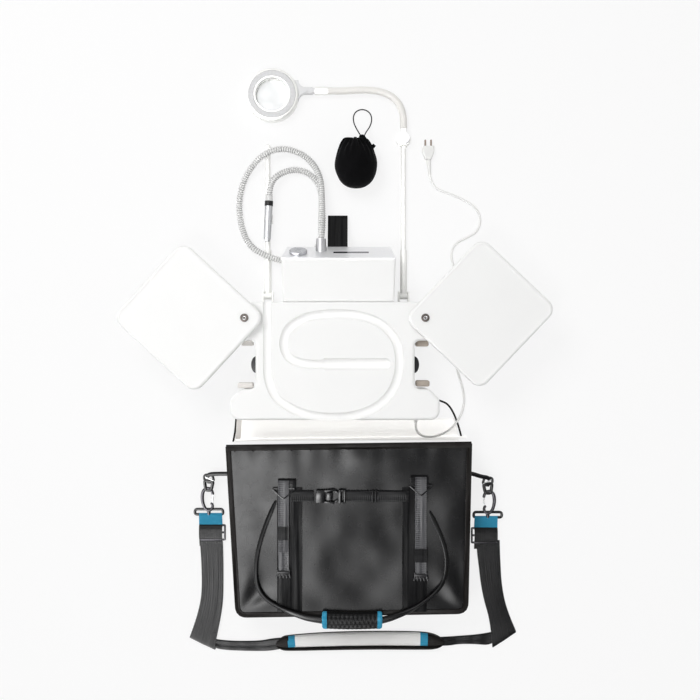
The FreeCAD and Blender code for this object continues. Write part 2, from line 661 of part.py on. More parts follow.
led_board = ring(groove_inner + 0.3, ring_outer - 0.3, groove_floor, groove_floor + 1.6)
save("led_board", led_board)
diffuser = ring(groove_inner + 0.3, ring_outer - 0.3, groove_floor + 1.6, head_height + 0.8)
save("led_diffuser", round_edges(diffuser, 1.5, at_height(head_height + 0.8)))
lens_edge, lens_bulge = 4.0, 5.5
cap_sphere_radius = (ledge_radius ** 2 + lens_bulge ** 2) / (2 * lens_bulge)
lens = cylinder(lens_radius, lens_edge, (head_x, head_y, ledge_high))
for z, sign in ((ledge_high + lens_edge, 1), (ledge_high, -1)):
    ball = Part.makeSphere(cap_sphere_radius, V(head_x, head_y, z + sign * (lens_bulge - cap_sphere_radius)))
    cap_side = cylinder(ledge_radius - 0.4, 12, (head_x, head_y, z if sign > 0 else z - 12))
    lens = lens.fuse(ball.common(cap_side))
save("magnifier_lens", lens.removeSplitter())

# ---------------------------------------------------------------- hose and handpiece
hose_route = [(port_x, port_end_y, port_height), (port_x, port_end_y + 27, port_height)] + measured_from(half_d, [
    (-30, 198.5, 48), (-30, 229.5, 36), (-31, 260.5, 27), (-39, 291.5, 19), (-56, 317.5, 12), (-80, 334.5, 12),
    (-108, 341.5, 19), (-136, 338.5, 25), (-163, 324.5, 24), (-186, 302.5, 14), (-203, 274.5, 7.9),
    (-212, 242.5, 7.5), (-214, 207.5, 7.9), (-209, 173.5, 7.5), (-198, 141.5, 14), (-178, 118.5, 24),
    (-150, 104.5, 26), (-122, 95.5, 18), (-92, 92.5, 8.5), (-64, 100.5, 7.6), (-43, 119.5, 7.8), (-32, 145.5, 7.5),
    (-29.5, 176.5, 7.8), (-29.5, 209.5, 7.5), (-31, 240.5, 7.7), (-39, 268.5, 7.5), (-58, 289.5, 7.8),
    (-85, 298.5, 8.5), (-112, 293, 14), (-134.5, 278, 21), (-144.9, 257, handpiece_z),
    (-145.8, 237.5, handpiece_z),
])
save("suction_hose", tube(hose_route, hose_radius, "hose"))
end = V(*hose_route[-1])
toward = V(*hose_route[-1]) - V(*hose_route[-2])
toward.normalize()


def on_handpiece(radius_start, radius_end, start, length):
    """Stage of the handpiece along its axis, from a distance past the hose's end."""
    base = end + toward * start
    if abs(radius_start - radius_end) < 1e-6:
        return Part.makeCylinder(radius_start, length, base, toward)
    return Part.makeCone(radius_start, radius_end, length, base, toward)


collar = on_handpiece(hose_radius + 0.6, hose_radius + 1.4, 0, 12)
save("handpiece_collar", collar)
save("handpiece_ring", on_handpiece(hose_radius + 2.0, hose_radius + 2.0, 12, 11))
body_length, mouth_length, mouth_depth = end.y - 23 - handpiece_end_y, 5.0, 30.0
body = fuse(on_handpiece(handpiece_radius, handpiece_radius - 0.7, 23, body_length - mouth_length),
            on_handpiece(handpiece_radius - 1.3, handpiece_radius - 2.0, 23 + body_length - mouth_length, mouth_length))
mouth = on_handpiece(5.0, 5.0, 23 + body_length - mouth_depth, mouth_depth + 1)
save("handpiece_body", body.cut(mouth))
# saddle that rests on the left pole and carries the handpiece
saddle_y = handpiece_end_y + 50
grip_center = end + toward * (end.y - saddle_y)
saddle = block((-pole_offset_x - 8, saddle_y - 9, 3), (-pole_offset_x + 11, saddle_y + 9, handpiece_z))
saddle = saddle.cut(cylinder(pole_radius, 60, (-pole_offset_x, saddle_y - 30, pole_axis_z), Y_AXIS))
saddle = saddle.cut(block((-pole_offset_x - 4.2, saddle_y - 20, -5), (-pole_offset_x + 4.2, saddle_y + 20, pole_axis_z - 1)))
saddle = saddle.cut(Part.makeCylinder(handpiece_radius + 0.25, 80, grip_center - toward * 40, toward))
save("handpiece_saddle", saddle.removeSplitter())

# ---------------------------------------------------------------- mains lead
gland_length = 14.0
gland = Part.makeCone(5.5, 3.4, gland_length, V(gland_x, -half_d, gland_z), V(0, -1, 0))
gland = fuse(gland, cylinder(3.9, 12, (gland_x, -half_d, gland_z), Y_AXIS))
save("lead_gland", gland)
gland_end_y = -half_d - gland_length
lead_route = [(gland_x, gland_end_y, gland_z), (gland_x, gland_end_y - 11, gland_z)] + measured_from(-half_d, [
    (182.5, -37, 12.6), (196, -44, 10.8), (216, -44.5, 9.6), (238, -37.5, 9.6), (257, -24.5, 10.4), (272, -6, 10),
    (282, 15.5, 6.4), (285.5, 39.5, 3.2),
]) + [
    (281, -58, 2.9), (271.5, -29, 2.7), (264, 4, 2.8), (260.5, 42, 2.7), (260.5, 83, 2.8),
] + measured_from(half_d, [
    (264, 0.5, 2.7), (267.5, 40.5, 2.8), (266.5, 71.5, 2.7), (257.5, 94.5, 2.8), (256, 118.5, 2.7),
    (268, 137.5, 2.8), (291, 147.5, 2.7), (312, 159.5, 2.8), (321.5, 179.5, 2.7), (318, 203.5, 2.9),
    (302, 221.5, 2.7), (278, 234.5, 2.8), (250, 246.5, 2.7), (226, 254, 2.9), (213, 268.5, 3.6), (208, 286.5, 5),
])
save("mains_lead", tube(lead_route, lead_radius, "mains lead"))
plug_end = V(*lead_route[-1])
plug_y0 = plug_end.y + 38
relief = Part.makeCone(3.2, 5.6, 38, plug_end, V(-0.06, 1, 0))
px, pz = plug_end.x - 3.5, plug_height / 2 + 0.2
face_y, plug_heel = plug_y0 + 25, 7.5
half_plug = plug_width / 2
body = prism([(px - half_plug, face_y), (px - half_plug, face_y - 13), (px - plug_heel, plug_y0 - 4),
              (px + plug_heel, plug_y0 - 4), (px + half_plug, face_y - 13), (px + half_plug, face_y)],
             pz - plug_height / 2, pz + plug_height / 2)
body = round_edges(body, 3.6, lambda e: abs(e.Vertexes[0].Y - e.Vertexes[-1].Y) > 8)
relief = relief.common(span(4 * plug_width, 4 * plug_width, 4 * plug_height, (px, plug_y0, 0.1)))
save("plug_body", fuse(body, relief))
plug_pins = []
for side in (-1, 1):
    pin = cylinder(pin_radius, pin_length - 2, (px + side * pin_spacing / 2, face_y, pz), Y_AXIS)
    tip = Part.makeSphere(pin_radius, V(px + side * pin_spacing / 2, face_y + pin_length - 2, pz))
    plug_pins.append(fuse(pin, tip))
save("plug_pins", *plug_pins)

# ---------------------------------------------------------------- carry bag on its back, mouth to the table
bag_plan = [(-231, -178, 6), (289, -171, 6), (281, -535, 22), (-210, -543, 22)]
bag = outline_face(bag_plan, 0.2).extrude(V(0, 0, bag_top_z - 0.2))
bag = round_edges(bag, 7.0, lambda e: at_height(bag_top_z)(e) and min(v.Y for v in e.Vertexes) < -400
                  and max(v.Y for v in e.Vertexes) < -400)
inside = [(-231 + bag_wall, -120), (289 - bag_wall, -120), (281 - bag_wall, -535 + bag_wall),
          (-210 + bag_wall, -543 + bag_wall)]
bag = bag.cut(prism(inside, 0.2 + bag_wall, bag_top_z - bag_wall))
save("bag_shell", bag)
lining_end_y = -half_d - 4
save("bag_lining", prism([(-222, lining_end_y), (-227, -177.5), (274, -171.0), (263, lining_end_y)], 0.2, 2.2))
cord_route = [(278.5, -169, 2.2), (274, -151, 2.2), (268, -133, 2.2), (261, -116, 2.2), (252, -101, 2.2),
              (241, -92, 2.2), (226, -88, 2.2)]
edge_cord = tube(cord_route, 1.9, "bag edge cord")

top = bag_top_z
band_z, fold_z = top + strap_thickness, top + strap_thickness * 2
webbing = [
    block((-123, -531, top), (-70, -267, band_z)),
    block((142, -527, top), (194, -267, band_z)),
    block((-121, -446, band_z), (-97, -254, band_z + 5)),
    block((169, -452, band_z), (194, -247, band_z + 5)),
    block((-97, -298, band_z), (154, -274, fold_z)),
]
save("bag_webbing", edge_cord, *webbing)
save("bag_buckle", block((-43, -302, fold_z), (27, -271, fold_z + 9)))
handle_route = [
    (-125.8, -296, 96.9), (-141, -330, 96.9), (-154.5, -368, 96.7), (-164, -402, 96.9), (-168.5, -435, 96.7),
    (-168, -465, 96.9), (-161, -488, 97.5), (-145, -505.5, 98.6), (-118, -521.5, 99.2), (-95.5, -531, 99.3),
    (-68, -541, 98.5), (-51, -545, 97.8), (-28.3, -547.5, 97.3),
]
right_route = [
    (199.5, -318.5, 99.4), (219, -356, 96.9), (233, -395.5, 96.7), (237, -425.5, 96.9), (234, -455.5, 96.7),
    (224, -478, 97.5), (202, -500, 98.6), (172, -520.5, 99.2), (150, -531, 99.3), (124.5, -541, 98.5),
    (112, -545, 97.8), (100.3, -547.5, 97.3),
]
handle_radius = 4.2
save("bag_handle", tube(handle_route, handle_radius, "handle left"), tube(right_route, handle_radius, "handle right"))
# the grip lies over the bag's lower edge, its outer side lower
grip_length, grip_width, grip_thickness, grip_tilt = 128.0, 42.0, 18.0, 25.0
grip = span(grip_length, grip_width, grip_thickness, (0, 0, -grip_thickness / 2))
grip = round_edges(grip, 7.0, lambda e: abs(e.Vertexes[0].X - e.Vertexes[-1].X) > grip_width)
grip.rotate(V(0, 0, 0), X_AXIS, grip_tilt)
grip.translate(V(36, -547.5, 97.3))
save("bag_grip", grip)

# shoulder strap lying round the bag, its pad in front
left_strap = prism([(-301, -402.3), (-298, -448), (-297, -490), (-300, -532), (-308.6, -568.6), (-323.3, -610.6),
                    (-319, -620), (-269.3, -639.4), (-245.7, -642.5), (-177.5, -645), (-134.5, -641.5),
                    (-134.5, -613.2), (-161.8, -621), (-230, -621), (-267, -617), (-261.4, -594.8),
                    (-250.9, -552.9), (-248.3, -521.4), (-249.4, -490), (-250, -402.3)], 0.2, 5.0)
right_strap = prism([(311, -398.3), (315.2, -448), (320.5, -490), (328.3, -532), (341.4, -573.9), (344, -602),
                     (310, -607.9), (268, -610.6), (239, -611.5), (239, -632.6), (268, -629), (310, -629),
                     (346.7, -634.1), (367.6, -622), (394.9, -606.3), (398, -597.4), (386, -568.6),
                     (373.9, -532), (367.6, -490), (365, -448), (363.4, -398.3)], 0.2, 5.0)
save("shoulder_strap", left_strap, right_strap)
save("shoulder_pad", block((-134, -643, 0.2), (238.5, -598.5, 20)))


def loop_of_wire(x0, x1, y0, y1, z, radius, corner):
    """Closed rounded ring of round wire, lying flat."""
    pts = [(x0, y0, corner), (x1, y0, corner), (x1, y1, corner), (x0, y1, corner)]
    path = outline_face(pts, z).OuterWire
    edge = max(path.Edges, key=lambda e: e.Length)
    start = edge.valueAt(edge.FirstParameter)
    tangent = edge.tangentAt(edge.FirstParameter)
    section = Part.Wire([Part.Circle(start, tangent, radius).toShape()])
    return path.makePipeShell([section], True, False, 2)


def front_prism(points, y0, y1):
    """Prism along Y on a closed outline of (x, z) points."""
    loop = [V(x, y0, z) for x, z in points]
    return Part.Face(Part.makePolygon(loop + loop[:1])).extrude(V(0, y1 - y0, 0))


def strap_end(x, y, bag_side):
    """Tab, ring, snap hook, swivel ring, webbing end and slider of one end of the shoulder strap."""
    toward_bag = 1 if bag_side > x else -1
    tab_end = x - toward_bag * 6
    tab = front_prism([(bag_side, 36), (tab_end, 24.5), (tab_end, 21.5), (bag_side, 33)], y - 20, y)
    link = loop_of_wire(x - 9, x + 9, y - 50, y - 8, 18.5, 2.5, 6)
    hook = loop_of_wire(x - 8, x + 8, y - 76, y - 42, 12.7, 3.0, 7)
    shank = cylinder(4.5, 16, (x, y - 94, 9.8), Y_AXIS)
    swivel = loop_of_wire(x - 30, x + 30, y - 109, y - 97.3, 7.5, 3.0, 3.5)
    web_end = block((x - web_wide / 2, y - 128.5, 1), (x + web_wide / 2, y - 112.3, 6))
    slider = block((x - 28.5, y - 170, 0.2), (x + 28.5, y - 128.8, 8))
    for slot_y in (y - 142, y - 166):
        slider = slider.cut(block((x - 24.5, slot_y, -1), (x + 24.5, slot_y + 8, 20)))
    return [tab, link, fuse(hook, shank), swivel, web_end, slider]


bag_left_x, bag_right_x = -227.9, 287.8
hardware = strap_end(-281.0, -232.0, bag_left_x) + strap_end(338.0, -228.0, bag_right_x)
save("strap_hardware", *hardware)

# ---------------------------------------------------------------- pouch with its drawstring
ball = Part.makeSphere(1.0)
stretch = FreeCAD.Matrix()
stretch.scale(pouch_half_width, pouch_half_length, pouch_height / 2)
pouch = ball.transformGeometry(stretch)
pouch.translate(V(pouch_x, pouch_y, pouch_height / 2 - 4))
pouch = pouch.common(span(4 * pouch_half_width, 4 * pouch_half_length, 2 * pouch_height, (pouch_x, pouch_y, 0.2)))
neck_y = pouch_y + pouch_half_length - 8
neck = Part.makeCone(17, 21, 14, V(pouch_x - 2, neck_y, 38), Y_AXIS)
knot = (59.0, neck_y + 18, 38.0)
save("pouch_body", fuse(pouch, neck), Part.makeSphere(4.8, V(*knot)))
loop_route = [(55.5, knot[1] + 3.5, 38)] + measured_from(pouch_y, [
    (50.5, 74, 34), (46, 85, 22), (42.5, 95, 9), (39.5, 105, 2.2), (38.5, 116, 1.8), (42.5, 126.5, 1.6),
    (52, 132.5, 1.8), (63.5, 133, 1.6), (74, 127.5, 1.8), (79.5, 117.5, 1.6), (79.5, 106, 1.8), (75.5, 94.5, 3.5),
    (70.5, 84.5, 15), (66, 75, 30),
]) + [(62.5, knot[1] + 3.8, 38)]
save("pouch_cord", tube(loop_route, 1.25, "pouch cord"))

for name, shape in parts.items():
    assert shape.isValid(), name
    shape.exportStep(f"parts/{name}.step")
print(len(parts), "parts")
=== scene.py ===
import json
import math

import bmesh
import bpy
from bpy.props import FloatProperty, FloatVectorProperty, IntProperty, PointerProperty
from mathutils import Matrix, Vector, noise

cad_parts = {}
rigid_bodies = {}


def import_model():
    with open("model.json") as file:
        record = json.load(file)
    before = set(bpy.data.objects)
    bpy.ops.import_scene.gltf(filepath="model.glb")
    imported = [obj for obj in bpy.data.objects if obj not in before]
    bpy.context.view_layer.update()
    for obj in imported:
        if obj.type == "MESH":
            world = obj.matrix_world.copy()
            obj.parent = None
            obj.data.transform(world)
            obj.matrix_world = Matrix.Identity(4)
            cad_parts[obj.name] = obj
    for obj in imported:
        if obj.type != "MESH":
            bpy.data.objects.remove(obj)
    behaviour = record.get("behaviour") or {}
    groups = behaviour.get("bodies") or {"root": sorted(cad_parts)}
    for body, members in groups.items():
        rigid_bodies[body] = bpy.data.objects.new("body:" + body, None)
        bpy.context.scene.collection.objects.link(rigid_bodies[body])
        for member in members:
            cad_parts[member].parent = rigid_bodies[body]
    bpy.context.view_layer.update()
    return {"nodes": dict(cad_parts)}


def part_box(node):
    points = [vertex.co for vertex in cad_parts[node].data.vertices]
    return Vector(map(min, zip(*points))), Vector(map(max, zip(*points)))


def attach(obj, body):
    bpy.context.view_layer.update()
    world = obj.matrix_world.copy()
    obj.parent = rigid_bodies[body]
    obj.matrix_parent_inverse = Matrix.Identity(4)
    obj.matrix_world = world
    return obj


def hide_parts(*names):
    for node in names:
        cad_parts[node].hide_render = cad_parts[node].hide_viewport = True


bl_info = {
    "name": "Manicure table kit",
    "version": (1, 0, 0),
    "blender": (4, 5, 0),
    "location": "3D View > Sidebar > Manicure Table",
    "description": "Dresses a portable manicure table with its suction unit, lamp, cords, pouch and carry bag",
    "category": "Object",
}

for leftover in list(bpy.data.objects):
    bpy.data.objects.remove(leftover)
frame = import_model()
NODES = frame["nodes"]
MM = 0.001
UP = Vector((0, 0, 1))


def linear(hex_colour):
    """sRGB hex to linear red, green and blue."""
    values = [int(hex_colour[i:i + 2], 16) / 255 for i in (1, 3, 5)]
    return tuple(v / 12.92 if v <= 0.04045 else ((v + 0.055) / 1.055) ** 2.4 for v in values)


def colour_setting(name, hex_colour, description):
    """A colour for the panel."""
    return FloatVectorProperty(name=name, description=description, subtype="COLOR", size=3, min=0, max=1,
                               default=linear(hex_colour))


def length_setting(name, millimetres, description):
    """A length for the panel."""
    return FloatProperty(name=name, description=description, default=millimetres * MM, min=0.0001, precision=4,
                         subtype="DISTANCE", unit="LENGTH")


# ---------------------------------------------------------------- settings
class KitPlastics(bpy.types.PropertyGroup):
    """Colours of the moulded, painted and plated parts."""
    housing: colour_setting("Housing", "#FAFAF9", "Moulded ABS of the table and its trays")
    unit: colour_setting("Suction unit", "#FBFBFA", "Painted shells of the suction unit")
    lamp: colour_setting("Lamp", "#F6F6F4", "Lamp head, poles and clamps")
    arm_cover: colour_setting("Arm cover", "#F1EFEB", "Silicone sleeve of the lamp arm")
    ring: colour_setting("Light ring", "#D2D2D3", "Frosted cover over the lamp's LEDs")
    bracket: colour_setting("Lamp bracket", "#DDDDDE", "Moulded bracket between the arm and the lamp head")
    hose: colour_setting("Hose", "#E3E3E2", "Corrugated suction hose and its cuffs")
    lead: colour_setting("Mains lead", "#EFEFED", "Lead, plug and strain relief")
    black: colour_setting("Black plastic", "#101012", "Buckles, hooks, latches and switch")
    fascia: colour_setting("Fascia", "#F2F2F5", "Brushed aluminium control panel")


class KitFabrics(bpy.types.PropertyGroup):
    """Colours of the bag, its webbing and the pouch."""
    tarpaulin: colour_setting("Tarpaulin", "#0B0B0C", "Coated fabric of the bag")
    binding: colour_setting("Binding", "#0D0B0A", "Folded tape sewn round the bag's edges")
    webbing: colour_setting("Webbing", "#0A0A0B", "Wide straps")
    ribbed: colour_setting("Ribbed webbing", "#303032", "Folded compression straps")
    accent: colour_setting("Accent", "#2A86A8", "Turquoise ends of the grips and straps")
    velvet: colour_setting("Velvet", "#060607", "Drawstring pouch and its cord")
    # painted shade: this colour goes on dark blocks set in the right-hand bay's corners, where there is only
    # shadow
    bay_shade: colour_setting("Bay pads", "#A3998F", "Soft pads in the corners of the table's right-hand bay")
    # the lining's colour sets its painted glow, a light it gives off though it is no lamp; its base colour is
    # fixed in its recipe
    lining: colour_setting("Lining", "#FBFAF8", "Pale lining that shows at the bag's mouth")


class KitSizes(bpy.types.PropertyGroup):
    """Sizes of the soft pieces."""
    hose_diameter: length_setting("Hose diameter", 14.4, "Outside diameter over the ribs")
    hose_pitch: length_setting("Rib pitch", 5.2, "Distance from one rib of the hose to the next")
    hose_groove: length_setting("Groove depth", 2.1, "Depth of the grooves between the ribs")
    lead_diameter: length_setting("Lead diameter", 5.0, "Diameter of the mains lead")
    cord_diameter: length_setting("Pouch cord diameter", 2.5, "Diameter of the drawstring")
    binding_width: length_setting("Binding width", 11.0, "Width of the tape round the bag")
    bag_sag: length_setting("Bag sag", 2.0, "How far the upper panel of the bag sinks in its middle")
    strap_thickness: length_setting("Strap thickness", 2.4, "Thickness of the heavy webbing")
    weave_pitch: length_setting("Weave pitch", 1.6, "Distance between ribs of the webbing's weave")
    pouch_folds: IntProperty(name="Pouch folds", description="Gathers round the neck of the pouch", default=17,
                             min=6)


class KitSettings(bpy.types.PropertyGroup):
    plastics: PointerProperty(type=KitPlastics)
    fabrics: PointerProperty(type=KitFabrics)
    sizes: PointerProperty(type=KitSizes)


# ---------------------------------------------------------------- mesh helpers
def mm(x, y, z):
    """A vector given in millimetres."""
    return Vector((x, y, z)) * MM


def frame_at(at, across, normal, along):
    """The matrix that turns X, Y and Z to those three directions and moves them to a place."""
    return Matrix.Translation(at) @ Matrix((across, normal, along)).transposed().to_4x4()


def finished(name, bm, finishes, body, crease=35.0):
    """Makes one piece of a bmesh, as placed does."""
    mesh = bpy.data.meshes.new(name)
    bm.to_mesh(mesh)
    bm.free()
    return placed(name, mesh, finishes, body, crease)


def placed(name, data, finishes, body, crease=35.0):
    """Makes one piece of mesh or curve data with the named finish or finishes and rides it on its body.
    Returns the object."""
    piece = bpy.data.objects.new(name, data)
    bpy.context.scene.collection.objects.link(piece)
    if piece.type == "MESH":
        data.shade_smooth()
        data.set_sharp_from_angle(angle=math.radians(crease))
    for finish in [finishes] if isinstance(finishes, str) else finishes:
        data.materials.append(finish_of(finish))
    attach(piece, body)
    return piece


def add_modifier(piece, kind, **settings):
    """Adds a modifier with its settings."""
    modifier = piece.modifiers.new(kind.title(), kind)
    for key, value in settings.items():
        setattr(modifier, key, value)


def subdivided(piece):
    """Smooths a piece by one subdivision."""
    add_modifier(piece, "SUBSURF", levels=1, render_levels=1)


def nurbs_curve(name, points, resolution):
    """Curve data with one smooth NURBS line through the middle of the given control points."""
    curve = bpy.data.curves.new(name, "CURVE")
    curve.dimensions = "3D"
    line = curve.splines.new("NURBS")
    line.points.add(len(points) - 1)
    for target, point in zip(line.points, points):
        target.co = (*point, 1)
    line.order_u = 3
    line.use_endpoint_u = True
    curve.resolution_u = resolution
    return curve


def spline_points(points, count=0):
    """Points of the smooth NURBS line that has the given control points, in equal steps if a count is given."""
    curve = nurbs_curve("line", points, 16)
    holder = bpy.data.objects.new("line", curve)
    mesh = bpy.data.meshes.new_from_object(holder)
    found = [v.co.copy() for v in mesh.vertices]
    bpy.data.objects.remove(holder)
    bpy.data.curves.remove(curve)
    bpy.data.meshes.remove(mesh)
    return evenly(found, count) if count else found


def length_of(points):
    """Length of the line through the points."""
    return sum((b - a).length for a, b in zip(points, points[1:]))


def evenly(points, count):
    """The same line in equal steps."""
    step = length_of(points) / (count - 1)
    result, travelled, wanted = [points[0]], 0.0, step
    for a, b in zip(points, points[1:]):
        span = (b - a).length
        while span > 0 and travelled + span >= wanted - 1e-12 and len(result) < count - 1:
            result.append(a.lerp(b, (wanted - travelled) / span))
            wanted += step
        travelled += span
    result.append(points[-1])
    return result


def rounded_corner(before, at, after, cut, steps):
    """Points of a corner that is rounded off, which takes the length cut off both of its sides."""
    start, end = at + (before - at).normalized() * cut, at + (after - at).normalized() * cut
    return [start.lerp(at, k / steps).lerp(at.lerp(end, k / steps), k / steps) for k in range(steps + 1)]


def directions(points, closed=False):
    """The way a line runs at each of its points."""
    reach = points[-1:] + points + points[:1] if closed else points[:1] + points + points[-1:]
    return [(after - before).normalized() for before, after in zip(reach, reach[2:])]


def frames_along(points, up=UP, closed=False):
    """A matrix at each point: X across the line, Y away from the surface, Z along the line. up holds the way
    off the surface, or one for each point."""
    frames = []
    ups = up if isinstance(up, list) else [up] * len(points)
    for point, along, above in zip(points, directions(points, closed), ups):
        across = along.cross(above).normalized()
        frames.append(frame_at(point, across, across.cross(along), along))
    return frames


def sweep(bm, outline, frames, caps=True, sizes=None):
    """Extrudes a closed outline from frame to frame and returns its faces. sizes holds a width and a height
    factor for each frame. The UV map gives the distances round the outline and along the line in metres."""
    uv = bm.loops.layers.uv.get("UVMap") or bm.loops.layers.uv.new("UVMap")
    reach = [0.0]
    for (ax, ay), (bx, by) in zip(outline, outline[1:] + outline[:1]):
        reach.append(reach[-1] + math.hypot(bx - ax, by - ay))

    def spot(k, index):
        """Where the outline's corner k comes to lie on a frame."""
        wide, high = sizes[index] if sizes else (1, 1)
        return frames[index] @ Vector((outline[k][0] * wide, outline[k][1] * high, 0))

    row = first = [bm.verts.new(spot(k, 0)) for k in range(len(outline))]
    edges = [bm.edges.new(pair) for pair in zip(row, row[1:] + row[:1])]
    place = {v: (reach[k], 0.0) for k, v in enumerate(row)}
    faces, travelled = [], 0.0
    for index in range(1, len(frames)):
        travelled += (frames[index].translation - frames[index - 1].translation).length
        made = bmesh.ops.extrude_edge_only(bm, edges=edges)["geom"]
        known = {tuple(v.co): v for v in made if isinstance(v, bmesh.types.BMVert)}
        row = [known[tuple(v.co)] for v in row]
        edges = [e for e in made if isinstance(e, bmesh.types.BMEdge)]
        faces += [f for f in made if isinstance(f, bmesh.types.BMFace)]
        for k, v in enumerate(row):
            v.co = spot(k, index)
            place[v] = (reach[k], travelled)
    if caps:
        faces += [bm.faces.new(ring) for ring in (first, row)]
    for face in faces:
        # a side face across the outline's seam takes its second row of points from the far end of the map
        at_seam = len(face.verts) == 4 and max(place[v][0] for v in face.verts) > reach[-1] / 2
        for loop in face.loops:
            u, along = place[loop.vert]
            loop[uv].uv = (u + reach[-1] if at_seam and u < reach[-1] / 4 else u, along)
    bmesh.ops.recalc_face_normals(bm, faces=faces)
    return faces


def flat_outline(width, thickness):
    """Outline of webbing: a flat band with softly rounded edges."""
    w, t = width / 2, thickness / 2
    return [(-w, -t * 0.45), (-w + t * 0.6, -t), (0, -t), (w - t * 0.6, -t), (w, -t * 0.45),
            (w, t * 0.45), (w - t * 0.6, t), (0, t), (-w + t * 0.6, t), (-w, t * 0.45)]


def round_outline(radius, sides):
    """Outline of round wire."""
    return [(radius * math.cos(2 * math.pi * k / sides), radius * math.sin(2 * math.pi * k / sides))
            for k in range(sides)]


def smooth_line(route, count=0):
    """The smooth NURBS line of a route in millimetres."""
    return spline_points([mm(*p) for p in route], count)


def straight_line(route, count):
    """The route in millimetres, in equal steps and without rounding."""
    return evenly([mm(*p) for p in route], count)


def band(bm, width, thickness, line, up=UP):
    """Webbing along a line, its width and thickness in millimetres."""
    sweep(bm, flat_outline(width * MM, thickness * MM), frames_along(line, up))


def wire(bm, radius, sides, line, swell=None):
    """Round wire along a line, its radius in millimetres. swell holds a factor for each point."""
    sweep(bm, round_outline(radius * MM, sides), frames_along(line), sizes=swell and [(s, s) for s in swell])


def rounded_block(bm, size, centre, bevel, segments=3, turn=0.0):
    """A block with rounded edges, in millimetres, turned about Z."""
    made = bmesh.ops.create_cube(bm, size=1.0)["verts"]
    bmesh.ops.scale(bm, verts=made, vec=mm(*size))
    edges = list({e for v in made for e in v.link_edges})
    done = bmesh.ops.bevel(bm, geom=edges, offset=bevel * MM, affect="EDGES", segments=segments, profile=0.5,
                           material=-1, clamp_overlap=True)
    verts = list({v for f in done["faces"] for v in f.verts} | {v for v in made if v.is_valid})
    bmesh.ops.rotate(bm, verts=verts, cent=(0, 0, 0), matrix=Matrix.Rotation(turn, 3, "Z"))
    bmesh.ops.translate(bm, verts=verts, vec=mm(*centre))


def ring_wire(bm, corners, radius, sides=10, steps=5):
    """A closed ring of round wire, its radius in millimetres. Each corner is given with the length that its
    rounding takes off both sides, in millimetres."""
    points = []
    for i, (corner, rounding) in enumerate(corners):
        before, after = corners[i - 1][0], corners[(i + 1) % len(corners)][0]
        points += rounded_corner(before, corner, after, rounding * MM, steps)
    ups = [UP if abs(along.z) < 0.9 else Vector((1, 0, 0)) for along in directions(points, closed=True)]
    frames = frames_along(points, ups, closed=True)
    faces = sweep(bm, round_outline(radius * MM, sides), frames + frames[:1], caps=False)
    bmesh.ops.remove_doubles(bm, verts=list({v for f in faces for v in f.verts}), dist=radius * MM * 0.02)


# ---------------------------------------------------------------- materials
def add(tree, kind, inputs=None, **settings):
    """Adds a node with its settings. inputs gives each socket a value or the socket it is fed from."""
    made = tree.nodes.new(kind)
    for key, value in settings.items():
        setattr(made, key, value)
    for key, value in (inputs or {}).items():
        if isinstance(value, bpy.types.NodeSocket):
            tree.links.new(value, made.inputs[key])
        else:
            made.inputs[key].default_value = value
    return made


def shade(colour, factor):
    """The colour made darker or lighter, with its alpha."""
    return (*[min(1.0, c * factor) for c in colour], 1)


class Finish:
    """A material in the making: its Principled shader and the nodes that feed it. Lengths are in millimetres."""

    def __init__(self, name, colour, roughness, metallic=0.0, gloss=0.5, **sockets):
        self.material = bpy.data.materials.new(name)
        self.material.use_nodes = True
        self.material.diffuse_color = (*colour, 1)
        self.tree = self.material.node_tree
        self.shader = self.tree.nodes["Principled BSDF"]
        self.colour = colour
        values = {"Base Color": (*colour, 1), "Roughness": roughness, "Metallic": metallic,
                  "Specular IOR Level": gloss, **sockets}
        for key, value in values.items():
            self.shader.inputs[key].default_value = value
        self.place = self.node("ShaderNodeTexCoord", output="Object")

    def node(self, kind, inputs=None, output=0, **settings):
        """Adds a node and returns one of its outputs."""
        return add(self.tree, kind, inputs, **settings).outputs[output]

    def feed(self, socket, source):
        """Links an output to the shader."""
        self.tree.links.new(source, self.shader.inputs[socket])

    def noise(self, cell, detail=2.0, **inputs):
        """Noise with cells of about that size."""
        return self.node("ShaderNodeTexNoise", {"Vector": self.place, "Scale": 1 / (cell * MM), "Detail": detail,
                                                **inputs})

    def stretched(self, vector, scale, detail):
        """Noise drawn out along the axes by the given scale."""
        drawn = self.node("ShaderNodeMapping", {"Vector": vector, "Scale": scale})
        return self.node("ShaderNodeTexNoise", {"Vector": drawn, "Scale": 1.0, "Detail": detail})

    def ramp(self, value, low, high, start=0.0, end=1.0):
        """Turns a value that runs from start to end into one that runs from low to high."""
        return self.node("ShaderNodeMapRange", {"Value": value, "From Min": start, "From Max": end, "To Min": low,
                                                "To Max": high})

    def math(self, operation, *values):
        """One sum of values or outputs."""
        return self.node("ShaderNodeMath", dict(enumerate(values)), operation=operation)

    def wave(self, value, period, operation="SINE"):
        """A wave that repeats after each period of a length in metres."""
        return self.math(operation, self.math("MULTIPLY", value, 2 * math.pi / period))

    def axes(self, vector):
        """The vector's X, Y and Z."""
        return add(self.tree, "ShaderNodeSeparateXYZ", {"Vector": vector}).outputs

    def uv(self):
        """The piece's own map in metres: X round its outline, Y along it."""
        return self.node("ShaderNodeUVMap", output="UV", uv_map="UVMap")

    def blend(self, share, first, second):
        """Sets the colour between two others."""
        self.feed("Base Color", self.node("ShaderNodeMix", {"Factor": share, "A": first, "B": second}, "Result",
                                          data_type="RGBA"))

    def tint(self, share, first, second):
        """Sets the colour between two shades of it."""
        self.blend(share, shade(self.colour, first), shade(self.colour, second))

    def bump(self, height, strength, distance, **inputs):
        """Sets relief of that distance, and returns it for another relief to lie on."""
        normal = self.node("ShaderNodeBump", {"Height": height, "Strength": strength, "Distance": distance * MM,
                                              **inputs}, "Normal")
        self.feed("Normal", normal)
        return normal


